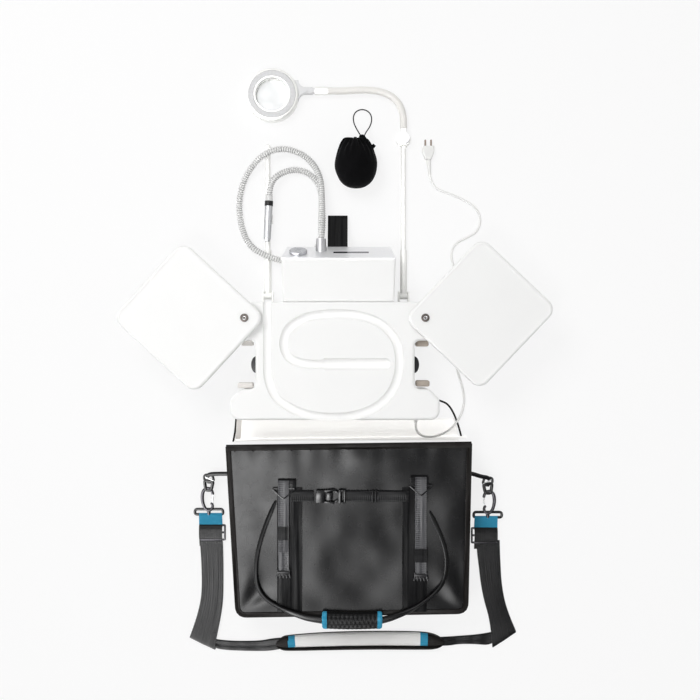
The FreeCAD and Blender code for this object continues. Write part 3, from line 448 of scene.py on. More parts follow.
def moulded(name, colour, roughness=0.42, grain=0.9, height=0.05, tone=0.97, gloss=0.5):
    """Moulded ABS or polypropylene with a spark-eroded skin: a fine even grain that softens each highlight,
    and a slow drift of tone where the wall behind is thicker."""
    made = Finish(name, colour, roughness, gloss=gloss)
    drift = made.noise(90, 3.0)
    made.tint(drift, tone, 1)
    made.feed("Roughness", made.ramp(drift, roughness - 0.05, roughness + 0.07))
    made.bump(made.noise(grain), height, 0.1)
    return made.material


def brushed_aluminium(name, colour):
    """Anodised aluminium brushed along X: fine scratches 0.3 mm apart stretch the highlight crosswise."""
    made = Finish(name, colour, 0.34, 0.6)
    lines = made.stretched(made.place, (25, 3300, 3300), 4.0)
    made.tint(lines, 0.84, 1.12)
    made.feed("Roughness", made.ramp(lines, 0.26, 0.44))
    made.bump(lines, 0.12, 0.05)
    return made.material


def turned_metal(name, hex_colour, roughness, smear=0.06):
    """Steel, chrome or brass off a lathe: faint rings and fingerprints that break up the mirror."""
    made = Finish(name, linear(hex_colour), roughness, 1.0)
    prints = made.noise(7, 4.0)
    made.tint(prints, 1, 0.9)
    made.feed("Roughness", made.ramp(prints, roughness, roughness + smear, 0.3, 0.75))
    made.bump(made.noise(0.5), 0.01, 0.05)
    return made.material


def woven(name, colour, rib, warp, contrast, roughness=0.72, height=0.5, gloss=0.3):
    """Woven polyester webbing: ribs across the band and warp lines along it, read from the piece's own UV in
    metres. The weave's valleys are painted darker and its crests lighter: painted shade and highlight. The ribs
    are drawn coarser than real ones, which are too fine to show."""
    made = Finish(name, colour, roughness, **{"Sheen Weight": 0.03, "Sheen Roughness": 0.5})
    uv = made.uv()
    parts = made.axes(uv)
    ribs = made.wave(parts["Y"], rib)
    weave = made.math("ADD", made.math("MULTIPLY", ribs, made.wave(parts["X"], warp * MM)), ribs)
    worn = made.ramp(made.noise(1.1, 3.0), 0.5, 1.3)
    relief = made.math("MULTIPLY", made.ramp(weave, 0, 1, -2.0, 2.0), worn)
    # long satin streaks where the filaments lie a little differently from warp to warp
    streaks = made.stretched(uv, (1 / (8 * MM), 1 / (190 * MM), 1), 3.0)
    made.feed("Roughness", made.ramp(streaks, roughness - 0.1, roughness + 0.14, 0.35, 0.65))
    made.feed("Specular IOR Level", made.ramp(streaks, 1.7 * gloss, 0.3 * gloss, 0.35, 0.65))
    # painted shade and highlight: the colour follows the weave's relief, darker in its valleys and lighter on its
    # crests
    made.tint(relief, 1 - contrast, 1 + 2.2 * contrast)
    made.bump(relief, height, 0.5)
    return made.material


def tarpaulin(name, colour):
    """PVC-coated polyester: a satin black skin with the base cloth's 6 mm squares just showing through and
    shallow swells that catch the light."""
    made = Finish(name, colour, 0.25, gloss=0.19)
    parts = made.axes(made.place)
    cloth = made.math("ADD", made.wave(parts["X"], 6 * MM), made.wave(parts["Y"], 6 * MM))
    scuffs = made.noise(14)
    made.tint(scuffs, 0.8, 1.3)
    made.feed("Roughness", made.ramp(scuffs, 0.25, 0.28, 0.3, 0.7))
    swells = made.bump(made.noise(95, 1.5, Roughness=0.35, Distortion=0.3), 0.24, 4)
    made.bump(cloth, 0.012, 0.06, Normal=swells)
    return made.material


def velvet(name, colour):
    """Cotton velvet: short pile that drinks the light face on and glows along its edges, brushed in patches."""
    made = Finish(name, colour, 0.95, gloss=0.05, **{"Sheen Weight": 0.08, "Sheen Roughness": 0.35})
    pile = made.noise(0.9, 3.0)
    made.tint(made.math("MULTIPLY", pile, made.noise(14, 4.0)), 0.5, 2.6)
    made.bump(pile, 0.6, 0.6)
    return made.material


def ribbed_hose(name, colour, pitch):
    """Soft PVC blown over a helix: smooth ribs, with painted shade darkening the grooves between them."""
    made = Finish(name, colour, 0.46, gloss=0.45)
    groove_shade = made.ramp(made.wave(made.axes(made.uv())["Y"], pitch, "COSINE"), 0, 1, -1.0, 0.3)
    # painted shade: the grooves between the ribs are coloured darker, varied at random along the hose
    made.tint(made.math("MULTIPLY", groove_shade, made.ramp(made.noise(12, 4.0), 0.85, 1.1)), 0.58, 1)
    return made.material


def display(name, off, lit):
    """Liquid-crystal window behind clear polycarbonate: black where it is off, grey where its field is lit."""
    made = Finish(name, linear(off), 0.25, gloss=0.2)
    field = made.ramp(made.axes(made.place)["X"], 0, 1, 25.5 * MM, 27 * MM)
    made.blend(field, (*made.colour, 1), (*linear(lit), 1))
    return made.material


def frosted_ring(name, colour):
    """Frosted acrylic over the LEDs: a matt even grey with a faint cell where each diode sits."""
    made = Finish(name, colour, 0.5, **{"Coat Weight": 0.15, "Coat Roughness": 0.3})
    cells = made.node("ShaderNodeTexVoronoi", {"Vector": made.place, "Scale": 1 / (8 * MM), "Randomness": 0.15},
                      "Distance")
    made.tint(made.ramp(cells, 0, 1, 0, 0.7), 1.05, 0.95)
    made.bump(made.noise(0.8), 0.08, 0.1)
    return made.material


def lens_glass(name, hex_colour):
    """Ground and polished optical glass, water-clear, with the least trace of dust."""
    made = Finish(name, linear(hex_colour), 0.0, **{"Transmission Weight": 1.0, "IOR": 1.3})
    made.feed("Roughness", made.ramp(made.noise(3, 5.0), 0, 0.06, 0.45, 0.8))
    return made.material


def speckled(name, hex_colour, roughness, spot, contrast, height=0.3):
    """Felt, circuit board, rubber and other plain finishes: small specks of tone and relief at their real size."""
    made = Finish(name, linear(hex_colour), roughness)
    specks = made.noise(spot, 4.0)
    made.tint(specks, 1 - contrast, 1 + contrast)
    made.bump(specks, height, 0.3 * spot)
    return made.material


def glowing_lining_cloth(name, hex_colour, colour, glow):
    """Thin white nylon that glows: its emission is painted light that keeps it bright even in the table's shadow.
    """
    made = speckled(name, hex_colour, 0.7, 1.0, 0.03)
    shader = made.node_tree.nodes["Principled BSDF"]
    # painted light: the cloth glows so that it reads white in the shade of the table and the bag
    shader.inputs["Emission Color"].default_value = (*colour, 1)
    shader.inputs["Emission Strength"].default_value = glow
    return made


def finish_of(name):
    if name in bpy.data.materials:
        return bpy.data.materials[name]
    kit = bpy.context.scene.manicure_kit
    plastics, fabrics, sizes = kit.plastics, kit.fabrics, kit.sizes
    recipe, *values = {
        "moulded_abs_white": (moulded, plastics.housing, 0.5, 0.9, 0.05, 0.97, 0.22),
        "painted_shell_white": (moulded, plastics.unit, 0.5, 1.2, 0.04, 0.97, 0.15),
        "lamp_white": (moulded, plastics.lamp, 0.36, 0.8, 0.04),
        "silicone_cream": (moulded, plastics.arm_cover, 0.55, 1.5, 0.08, 0.94),
        "satin_black_plastic": (moulded, plastics.black, 0.38, 0.7, 0.12, 0.8, 0.25),
        "gloss_black_plastic": (moulded, plastics.black, 0.2, 0.9, 0.05, 0.8, 0.28),
        "lead_pvc_white": (moulded, plastics.lead, 0.45, 0.6, 0.05),
        "hose_cuff_grey": (moulded, plastics.hose, 0.42, 0.8, 0.05, 0.93),
        "hose_pvc_ribbed": (ribbed_hose, plastics.hose, sizes.hose_pitch),
        "frosted_acrylic": (frosted_ring, plastics.ring),
        "bracket_grey": (moulded, plastics.bracket, 0.4, 0.9, 0.05, 0.95),
        "brushed_aluminium": (brushed_aluminium, plastics.fascia),
        "chrome_plate": (turned_metal, "#BDBEC2", 0.26),
        "pearl_chrome": (turned_metal, "#EDEDEF", 0.3),
        "hose_cuff_satin": (turned_metal, "#A5A5A7", 0.34, 0.1),
        "stainless_steel": (turned_metal, "#B4B5B6", 0.24, 0.12),
        "nickel_pins": (turned_metal, "#7B6F66", 0.3),
        "screw_steel": (turned_metal, "#4F4A47", 0.34, 0.1),
        "handpiece_steel": (turned_metal, "#B6B7B9", 0.3, 0.05),
        "hook_black": (turned_metal, "#3C3B3E", 0.3, 0.1),
        "lens_glass": (lens_glass, "#FBFDFC"),
        "display_glass": (display, "#0B0C10", "#7B7C81"),
        "rubber_grey": (speckled, "#6C6C6B", 0.85, 1.4, 0.15),
        "filter_felt": (speckled, "#D8D5CC", 0.95, 2.2, 0.12, 0.6),
        "circuit_board": (speckled, "#2E5A3B", 0.45, 3.0, 0.25, 0.1),
        # pale blocks of painted shade in the lit left bay's corners; the same finish covers the lip facing on the
        # bag
        "bay_pad_taupe": (speckled, "#E4E0DC", 0.85, 1.2, 0.04),
        "pad_face_white": (speckled, "#ECEBE9", 0.6, 1.3, 0.05, 0.25),
        "lining_inner": (speckled, "#DAD8D4", 0.75, 1.0, 0.04, 0.3),
        # the lining glows at this strength: painted light
        "lining_nylon": (glowing_lining_cloth, "#FBFAF8", fabrics.lining, 0.42),
        "tarpaulin_black": (tarpaulin, fabrics.tarpaulin),
        "velvet_black": (velvet, fabrics.velvet),
        # dark blocks of painted shade in the right bay's shadowed corners
        "bay_pad_brown": (woven, fabrics.bay_shade, 1.8 * MM, 2.0, 0.3, 0.8, 0.4, 0.2),
        "strap_black": (woven, fabrics.webbing, 2.4 * MM, 4.6, 0.3, 0.34, 0.1, 0.12),
        "binding_tape": (woven, fabrics.binding, 2.2 * MM, 3.0, 0.4, 0.6, 0.5, 0.08),
        "webbing_black": (woven, fabrics.webbing, sizes.weave_pitch, 6.0, 0.5, 0.34, 0.3, 0.06),
        "webbing_satin": (woven, fabrics.webbing, 2.4 * MM, 4.6, 0.5, 0.32, 0.2, 0.15),
        "webbing_ribbed": (woven, fabrics.ribbed, 4.4 * MM, 24.0, 0.55, 0.5, 0.8, 0.3),
        "webbing_strap": (woven, fabrics.webbing, 4.4 * MM, 24.0, 0.7, 0.36, 0.4, 0.09),
        "webbing_accent": (woven, fabrics.accent, sizes.weave_pitch, 3.0, 0.22),
    }[name]
    return recipe(name, *values)


# ---------------------------------------------------------------- stage
# each soft light's name, place, aim, size and power
LIGHTS = (("key_softbox", (-1.0, 1.3, 2.3), (0, 0, 0), 1.2, 31.0),
          ("sheen_softbox", (-0.46, -0.62, 2.3), (-0.15, -0.35, 0), 0.5, 10.0),
          ("fill_softbox", (1.9, 0.3, 1.8), (0, 0, 0), 1.4, 5.0))
FLOOR_HALF = 9.0
CAMERA_AT = (0.0315, 0.0231, 2.0)
SENSOR_WIDTH, FOCAL_LENGTH, FAR_CLIP = 36.0, 46.286, 20
# strength of the white room as a light, and how far the floor is lifted to white for the camera
ROOM_LIGHT, FLOOR_LIFT = 0.42, 0.8


class KIT_OT_stage(bpy.types.Operator):
    """Adds the floor, the soft lights, the surroundings and the camera"""
    bl_idname = "manicure_kit.stage"
    bl_label = "Stage and camera"

    def execute(self, context):
        scene = context.scene
        scene.view_settings.view_transform = "Standard"
        bm = bmesh.new()
        bmesh.ops.create_grid(bm, x_segments=2, y_segments=2, size=FLOOR_HALF)
        mesh = bpy.data.meshes.new("floor")
        bm.to_mesh(mesh)
        bm.free()
        mesh.materials.append(paper_sweep())
        floor = bpy.data.objects.new("floor", mesh)
        scene.collection.objects.link(floor)
        white_room(scene)
        for name, at, aim, size, power in LIGHTS:
            light = bpy.data.lights.new(name, "AREA")
            light.shape, light.size, light.energy = "SQUARE", size, power
            lamp = bpy.data.objects.new(name, light)
            lamp.location = at
            lamp.rotation_euler = (Vector(aim) - Vector(at)).to_track_quat("-Z", "Y").to_euler()
            scene.collection.objects.link(lamp)
        camera = bpy.data.objects.new("camera", bpy.data.cameras.new("camera"))
        camera.data.sensor_width, camera.data.lens, camera.data.clip_end = SENSOR_WIDTH, FOCAL_LENGTH, FAR_CLIP
        camera.location = CAMERA_AT
        scene.collection.objects.link(camera)
        scene.camera = camera
        return {"FINISHED"}


def background_rays(tree):
    """1 for the rays that look straight at a thing or past it through gloss and glass."""
    path = add(tree, "ShaderNodeLightPath").outputs
    first = add(tree, "ShaderNodeMath", {0: path["Is Camera Ray"], 1: path["Is Glossy Ray"]}, operation="MAXIMUM")
    return add(tree, "ShaderNodeMath", {0: first.outputs[0], 1: path["Is Transmission Ray"]},
               operation="MAXIMUM").outputs[0]


def paper_sweep():
    """White background paper: lit as paper, and lifted to white where the camera sees it, shadows kept."""
    made = Finish("background_paper", linear("#F2F2F2"), 0.9)
    fibre = made.node("ShaderNodeTexNoise", {"Vector": made.place, "Scale": 900.0, "Detail": 2.0})
    made.bump(fibre, 0.02, 0.2)
    glow = made.node("ShaderNodeEmission", {"Color": (1, 1, 1, 1), "Strength": 1.0})
    share = made.math("MULTIPLY", background_rays(made.tree), FLOOR_LIFT)
    mixed = made.node("ShaderNodeMixShader", {0: share, 1: made.shader.outputs[0], 2: glow})
    made.tree.links.new(mixed, made.tree.nodes["Material Output"].inputs["Surface"])
    return made.material


def white_room(scene):
    """Even pale surroundings: white to the eye, softer as a light."""
    world = bpy.data.worlds.new("white_room")
    world.use_nodes = True
    tree = world.node_tree
    tree.nodes.clear()
    soft = add(tree, "ShaderNodeBackground", {"Color": (1, 1, 1, 1), "Strength": ROOM_LIGHT})
    # gloss sees a window over the left foot of the table and a dark corner beyond its right foot
    parts = add(tree, "ShaderNodeSeparateXYZ", {"Vector": add(tree, "ShaderNodeTexCoord").outputs["Generated"]})

    def ramp(axis, start, end, low, high):
        """A smooth step along one axis of the sky."""
        return add(tree, "ShaderNodeMapRange", {"Value": parts.outputs[axis], "From Min": start, "From Max": end,
                                                "To Min": low, "To Max": high},
                   interpolation_type="SMOOTHSTEP").outputs["Result"]

    foot = ramp("Y", -0.02, -0.1, 0.0, 1.0)
    window = add(tree, "ShaderNodeMath", {0: foot, 1: ramp("X", 0.06, -0.16, -0.85, 10.0)}, operation="MULTIPLY")
    seen = add(tree, "ShaderNodeMath", {0: window.outputs[0], 1: 1.0}, operation="ADD")
    gloss = add(tree, "ShaderNodeMix", {"Factor": add(tree, "ShaderNodeLightPath").outputs["Is Glossy Ray"],
                                        "A": 1.0, "B": seen.outputs[0]})
    white = add(tree, "ShaderNodeBackground", {"Color": (1, 1, 1, 1), "Strength": gloss.outputs["Result"]})
    mixed = add(tree, "ShaderNodeMixShader", {0: background_rays(tree), 1: soft.outputs[0], 2: white.outputs[0]})
    add(tree, "ShaderNodeOutputWorld", {"Surface": mixed.outputs[0]}).is_active_output = True
    scene.world = world


# ---------------------------------------------------------------- hard parts as they were built
CARRIED = {
    "moulded_abs_white": ("base_tub", "worktop_panel", "tray_left", "tray_right"),
    "painted_shell_white": ("unit_front_shell", "unit_rear_shell", "base_plate"),
    "lamp_white": ("lamp_housing", "lamp_pole", "lamp_sleeve", "rest_pole", "elbow_clamp", "arm_hub",
                   "arm_ferrule", "handpiece_saddle", "pole_brackets"),
    "satin_black_plastic": ("pivot_posts", "knob_encoder", "fan_impeller", "power_supply", "power_rocker",
                            "handpiece_ring"),
    "hose_cuff_grey": ("handpiece_collar",),
    "hose_cuff_satin": ("hose_port",),
    "frosted_acrylic": ("led_diffuser",),
    "bracket_grey": ("head_bracket",),
    "brushed_aluminium": ("control_fascia",),
    "chrome_plate": ("speed_knob",),
    "pearl_chrome": ("clamp_knob",),
    "stainless_steel": ("housing_screws", "suction_motor", "hinge_pins"),
    "screw_steel": ("pivot_screws",),
    "handpiece_steel": ("handpiece_body",),
    "nickel_pins": ("plug_pins",),
    "lens_glass": ("magnifier_lens",),
    "display_glass": ("display_window",),
    "rubber_grey": ("rubber_feet",),
    "filter_felt": ("filter_cartridge",),
    "circuit_board": ("control_board", "led_board"),
    "lead_pvc_white": ("lead_gland", "plug_body"),
    "silicone_cream": ("lamp_arm",),
}


class KIT_OT_carried(bpy.types.Operator):
    """Gives the rigid parts their finishes"""
    bl_idname = "manicure_kit.carried"
    bl_label = "Finishes of the rigid parts"

    def execute(self, context):
        for finish, names in CARRIED.items():
            for name in names:
                for slot in NODES[name].material_slots:
                    slot.material = finish_of(finish)
        return {"FINISHED"}


# ---------------------------------------------------------------- hose and cords
HOSE_ROUTE = [
    (-30.7, 262.5, 62), (-30.7, 289.5, 62), (-30, 323, 48), (-30, 354, 36), (-31, 385, 27), (-39, 416, 19),
    (-56, 442, 12), (-80, 459, 12), (-108, 466, 19), (-136, 463, 25), (-163, 449, 24), (-186, 427, 14),
    (-203, 399, 7.9), (-212, 367, 7.5), (-214, 332, 7.9), (-209, 298, 7.5), (-198, 266, 14), (-178, 243, 24),
    (-150, 229, 26), (-122, 220, 18), (-92, 217, 8.5), (-64, 225, 7.6), (-43, 244, 7.8), (-32, 270, 7.5),
    (-29.5, 301, 7.8), (-29.5, 334, 7.5), (-31, 365, 7.7), (-39, 393, 7.5), (-58, 414, 7.8), (-85, 423, 8.5),
    (-112, 417.5, 14), (-134.5, 402.5, 21), (-144.9, 381.5, 23.5), (-145.8, 362, 23.5),
]
LEAD_ROUTE = [
    (176, -138.5, 14.4), (176, -149.5, 14.4), (182.5, -161.5, 12.6), (196, -168.5, 10.8), (216, -169, 9.6),
    (238, -162, 9.6), (257, -149, 10.4), (272, -130.5, 10), (282, -109, 6.4), (285.5, -85, 3.2), (281, -58, 2.9),
    (271.5, -29, 2.7), (264, 4, 2.8), (260.5, 42, 2.7), (260.5, 83, 2.8), (264, 125, 2.7), (267.5, 165, 2.8),
    (266.5, 196, 2.7), (257.5, 219, 2.8), (256, 243, 2.7), (268, 262, 2.8), (291, 272, 2.7), (312, 284, 2.8),
    (321.5, 304, 2.7), (318, 328, 2.9), (302, 346, 2.7), (278, 359, 2.8), (250, 371, 2.7), (226, 378.5, 2.9),
    (213, 393, 3.6), (208, 411, 5.0),
]
LOOP_ROUTE = [
    (55.5, 489.5, 38), (50.5, 498, 34), (46, 509, 22), (42.5, 519, 9), (39.5, 529, 2.2), (38.5, 540, 1.8),
    (42.5, 550.5, 1.6), (52, 556.5, 1.8), (63.5, 557, 1.6), (74, 551.5, 1.8), (79.5, 541.5, 1.6),
    (79.5, 530, 1.8), (75.5, 518.5, 3.5), (70.5, 508.5, 15), (66, 499, 30), (62.5, 489.8, 38),
]


def cord_curve(name, route, diameter, finish, body):
    """A round cord on the smooth NURBS line of its route."""
    curve = nurbs_curve(name, [mm(*point) for point in route], 12)
    curve.bevel_depth = diameter / 2
    curve.bevel_resolution = 5
    curve.use_fill_caps = True
    return placed(name, curve, finish, body)


class KIT_OT_hose(bpy.types.Operator):
    """Adds the corrugated suction hose"""
    bl_idname = "manicure_kit.hose"
    bl_label = "Suction hose"

    def execute(self, context):
        sizes = context.scene.manicure_kit.sizes
        line = smooth_line(HOSE_ROUTE)
        # each rib rises and falls in six steps as a rounded wave, widest for half of its pitch
        rib = [1.0, 0.93, 0.35, 0.0, 0.35, 0.93]
        count = int(length_of(line) / sizes.hose_pitch * len(rib)) + 1
        points = evenly(line, count)
        crest = sizes.hose_diameter / 2
        groove = crest - sizes.hose_groove
        swell = [(groove + (crest - groove) * rib[k % len(rib)]) / crest for k in range(count)]
        bm = bmesh.new()
        wire(bm, crest / MM, 20, points, swell)
        hose = finished("hose_ribbed", bm, "hose_pvc_ribbed", "root", 80)
        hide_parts("suction_hose")
        return {"FINISHED"}


class KIT_OT_lead(bpy.types.Operator):
    """Adds the mains lead"""
    bl_idname = "manicure_kit.lead"
    bl_label = "Mains lead"

    def execute(self, context):
        diameter = context.scene.manicure_kit.sizes.lead_diameter
        lead = cord_curve("lead_round", LEAD_ROUTE, diameter, "lead_pvc_white", "root")
        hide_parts("mains_lead")
        return {"FINISHED"}


class KIT_OT_drawstring(bpy.types.Operator):
    """Adds the loop of cord that closes the pouch"""
    bl_idname = "manicure_kit.drawstring"
    bl_label = "Pouch drawstring"

    def execute(self, context):
        diameter = context.scene.manicure_kit.sizes.cord_diameter
        loop = cord_curve("drawstring_loop", LOOP_ROUTE, diameter, "velvet_black", "pouch")
        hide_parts("pouch_cord")
        return {"FINISHED"}


# ---------------------------------------------------------------- carry bag
BAG_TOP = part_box("bag_shell")[1].z
# its length from mouth to foot, its corners, and how far the upper lip of the mouth leans out for its height
BAG_LENGTH = 365
MOUTH_LEFT, MOUTH_RIGHT = mm(-231, -178, 0), mm(289, -171, 0)
FOOT_LEFT, FOOT_RIGHT = mm(-210, -543, 0), mm(281, -535, 0)
FOOT_RADIUS = 22 * MM
MOUTH_SLANT = 0.14
CLOTH = 2.4 * MM
# place along the mouth, depth and reach of each pucker
PUCKERS = ((-205, 1.6, 20), (-168, 2.4, 26), (-120, 1.4, 16), (-74, 2.2, 30), (-30, 1.2, 18), (12, 2.4, 24),
           (62, 1.3, 18), (98, 1.9, 28), (150, 1.4, 16), (196, 2.3, 26), (242, 1.5, 18), (272, 1.7, 22))
# width of a pucker; the panel's half width; how far from a lower corner its pulls are strongest, and their spread
PUCKER_WIDTH, PANEL_HALF, PULL_REACH, PULL_SPREAD = 11, 260, 60, 55


def bag_place(x, y):
    """How far across the bag a point is, from -1 to 1, and how far from its mouth to its foot, from 0 to 1."""
    depth = FOOT_LEFT.y - MOUTH_LEFT.y
    share = (y - MOUTH_LEFT.y) / depth
    left = MOUTH_LEFT.x + (FOOT_LEFT.x - MOUTH_LEFT.x) * share
    right = MOUTH_RIGHT.x + (FOOT_RIGHT.x - MOUTH_RIGHT.x) * share
    across = (x - (left + right) / 2) / ((right - left) / 2)
    return across, (y - (MOUTH_LEFT.y + (MOUTH_RIGHT.y - MOUTH_LEFT.y) * (across + 1) / 2)) / depth


def bag_settle(x, y):
    """How much higher or lower than flat the upper panel lies at a point."""
    sag = bpy.context.scene.manicure_kit.sizes.bag_sag
    across, share = bag_place(x, y)
    across, share = max(-1, min(1, across)), max(0, min(1, share))
    inside = (1 - across ** 4) * (1 - (2 * share - 1) ** 4)
    at = Vector((x * 7.5, y * 7.5, 3.1))
    broad = noise.noise(at) + 0.5 * noise.noise(at * 2.3)
    rise = -sag * inside * (0.55 + 0.45 * math.cos(math.pi * across * 0.9))
    rise += 3.0 * MM * broad * min(1, inside * 1.6)
    # puckers hang from the tacks of the mouth's binding, and pulls run into the two lower corners
    for tack_x, depth, reach in PUCKERS:
        near = math.exp(-share * BAG_LENGTH / reach) * min(1, share * 45)
        rise -= depth * MM * near * math.exp(-((x / MM - tack_x) / PUCKER_WIDTH) ** 2)
    for side in (-1, 1):
        away = math.hypot((across - side) * PANEL_HALF, (share - 1) * BAG_LENGTH)
        turn = math.atan2(1 - share, (side - across) * side * 0.7 + 1e-6)
        pull = math.exp(-((away - PULL_REACH) / PULL_SPREAD) ** 2)
        rise += 2.2 * MM * pull * math.sin(7 * turn + side) * min(1, inside * 3)
    return rise


def settle(bm, verts=None):
    """Lays what was made flat on the bag's upper panel down on its real surface."""
    for v in verts or bm.verts:
        v.co.z += bag_settle(v.co.x, v.co.y)


def bag_outline():
    """Section of the bag, from -1 to 1 across and 0 to 1 up: fine along the top, coarser round the rest."""
    top = [(-1 + 2 * k / 44, 1.0) for k in range(45)]
    right = [(1.0, 1 - k / 6) for k in range(1, 6)]
    under = [(1 - 2 * k / 16, 0.0) for k in range(17)]
    left = [(-1.0, k / 6) for k in range(1, 6)]
    return top + right + under + left


class KIT_OT_bag(bpy.types.Operator):
    """Adds the carry bag's shell, its binding and its lining"""
    bl_idname = "manicure_kit.bag"
    bl_label = "Bag"

    def execute(self, context):
        length = BAG_LENGTH * MM
        rounded = FOOT_RADIUS / length
        shares = [k / 40 * (1 - rounded) for k in range(41)]
        shares += [1 - rounded * (1 - math.sin(math.pi / 2 * k / 6)) for k in range(1, 7)]
        frames, sizes = [], []
        for share in shares:
            left, right = MOUTH_LEFT.lerp(FOOT_LEFT, share), MOUTH_RIGHT.lerp(FOOT_RIGHT, share)
            depth = max(0.0, (share - 1) * length + FOOT_RADIUS)
            cut = FOOT_RADIUS - math.sqrt(max(0.0, FOOT_RADIUS ** 2 - depth ** 2))
            across = (right - left).normalized()
            frames.append(frame_at((left + right) / 2 + UP * 0.3 * MM, across, UP, across.cross(UP)))
            sizes.append(((right - left).length / 2 - cut * 0.98, BAG_TOP - 0.4 * MM))
        bm = bmesh.new()
        sweep(bm, bag_outline(), frames, sizes=sizes)
        mouth = [f for f in bm.faces if len(f.verts) > 4 and f.calc_center_median().y > -0.2]
        bmesh.ops.delete(bm, geom=mouth, context="FACES_ONLY")
        settle(bm, [v for v in bm.verts if v.co.z > BAG_TOP - 2 * MM])
        for v in bm.verts:
            # the side walls slump outwards a little, and the floor panel stays flat
            if 4 * MM < v.co.z < BAG_TOP - 8 * MM:
                across, share = bag_place(v.co.x, v.co.y)
                bulge = math.sin(math.pi * v.co.z / BAG_TOP)
                v.co.x += 3.0 * MM * across * bulge * noise.noise(v.co * 9)
                v.co.y -= 2.5 * MM * share ** 8 * bulge
            # the mouth is cut on a slant: its upper lip lies a little over the lower one
            share = bag_place(v.co.x, v.co.y)[1]
            v.co.y -= MOUTH_SLANT * max(0.0, BAG_TOP - v.co.z) * max(0.0, 1 - share * 5)
        shell = finished("bag_body", bm, ("tarpaulin_black", "lining_inner"), "bag", 50)
        add_modifier(shell, "SOLIDIFY", thickness=CLOTH, offset=-1, use_even_offset=True, material_offset=1,
                     material_offset_rim=0)
        subdivided(shell)
        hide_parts("bag_shell")
        self.binding(context.scene.manicure_kit.sizes.binding_width)
        self.lining()
        return {"FINISHED"}

    def binding(self, width):
        """Folded tape over the seams of the upper panel, and a wider one round the mouth."""
        inset = width / 2 - 1.5 * MM
        lift = UP * (BAG_TOP + 0.2 * MM)
        left_in, right_in, up_in = Vector((inset, 0, 0)), Vector((-inset, 0, 0)), Vector((0, inset, 0))
        start, foot_left = MOUTH_LEFT + left_in + mm(0, -4, 0), FOOT_LEFT + left_in + up_in
        foot_right, end = FOOT_RIGHT + right_in + up_in, MOUTH_RIGHT + right_in + mm(0, -4, 0)
        rounded = [start]
        for before, at, after in ((start, foot_left, foot_right), (foot_left, foot_right, end)):
            rounded += rounded_corner(before, at, after, FOOT_RADIUS - inset, 8)
        rounded.append(end)
        bm = bmesh.new()
        band(bm, width / MM, 2.6, evenly([p + lift for p in rounded], 170))
        settle(bm)
        finished("bag_binding", bm, "binding_tape", "bag")
        onto_tape = lift + mm(0, -6.5, 0.6)
        line = evenly([MOUTH_LEFT + onto_tape, MOUTH_RIGHT + onto_tape], 90)
        bm = bmesh.new()
        band(bm, 13.5, 2.8, line)
        settle(bm)
        finished("mouth_binding", bm, "binding_tape", "bag")
        # bar tacks that hold the mouth's binding, and the piped edge of the lower lip
        bm = bmesh.new()
        for k in range(13):
            at = line[3].lerp(line[-4], k / 12) / MM
            rounded_block(bm, (3.2, 1.6, 1.6), (at.x, at.y - 7.5, at.z + 0.4), 0.5, 2)
        settle(bm)
        finished("binding_tacks", bm, "binding_tape", "bag")
        bm = bmesh.new()
        band(bm, 5, 5, evenly([MOUTH_LEFT + mm(0, 1, 3), MOUTH_RIGHT + mm(0, 1, 3)], 60))
        # the piped lip takes the glowing lining: painted light
        finished("mouth_lip", bm, "lining_nylon", "bag")

    def lining(self):
        """Pale lining of the lower lip that reaches out to the table."""
        low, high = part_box("bag_lining")
        bm = bmesh.new()
        made = bmesh.ops.create_grid(bm, x_segments=60, y_segments=8, size=0.5)["verts"]
        bmesh.ops.scale(bm, verts=made, vec=(high.x - low.x, high.y - low.y, 1))
        bmesh.ops.translate(bm, verts=made, vec=((high.x + low.x) / 2, (high.y + low.y) / 2, 1.6 * MM))
        for v in bm.verts:
            toward_bag = (high.y - v.co.y) / (high.y - low.y)
            v.co.x *= 0.965 + 0.035 * toward_bag
            v.co.z += 1.1 * MM * noise.noise(Vector((v.co.x * 14, v.co.y * 20, 0.4)))
            v.co.z = max(v.co.z, 1.3 * MM)
        # the sheet takes the glowing lining, painted light that keeps it white in the table's shadow
        cloth = finished("mouth_lining", bm, "lining_nylon", "bag")
        add_modifier(cloth, "SOLIDIFY", thickness=0.8 * MM, offset=-1)
        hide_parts("bag_lining")


# ---------------------------------------------------------------- webbing and buckles on the bag
# height of the bag's upper panel in millimetres, on which all of this is laid
PANEL = BAG_TOP / MM
# left and right edge of each band; left and right edge, head and foot of each folded strap
BAG_BANDS = ((-123, -70), (142, 194))
FOLDS = ((-121, -97, -254, -446), (169, 194, -247, -452))
EDGE_CORDS = (
    ((278.5, -169, 2.6), (274, -151, 2.4), (268, -133, 2.4), (261, -116, 2.4), (252, -101, 2.4), (241, -92, 2.4),
     (226, -88, 2.4)),
    ((-221, -126, 2.6), (-222, -140, 2.4), (-223.5, -156, 2.4), (-225.5, -170, 4), (-227, -179, 9)),
)
LEFT_HANDLE = [
    (-125.8, -296, 97.5), (-141, -330, 97.5), (-154.5, -368, 97.5), (-164, -402, 97.5), (-168.5, -435, 97.5),
    (-168, -465, 97.5), (-161, -488, 98), (-145, -505.5, 99), (-118, -521.5, 99.6), (-95.5, -531, 99.6),
    (-68, -541, 98.5), (-51, -545, 97.8), (-24, -548.5, 97.3),
]
RIGHT_HANDLE = [
    (199.5, -318.5, 99), (219, -356, 97.5), (233, -395.5, 97.5), (237, -425.5, 97.5), (234, -455.5, 97.5),
    (224, -478, 98), (202, -500, 99), (172, -520.5, 99.6), (150, -531, 99.6), (124.5, -541, 98.5),
    (112, -545, 97.8), (96, -548.5, 97.3),
]
# middle, half width, half thickness and tilt of the grip, which lies over the bag's lower edge
GRIP_MIDDLE, GRIP_HALF, GRIP_TILT = (36, -547.5, 97.3), (64, 21, 9), math.radians(25)
# rows of quilting along the grip and their depth, and the share of its length that each end band takes
QUILT_ROWS, QUILT_DEPTH, GRIP_BAND = 14, 0.8 * MM, 0.088
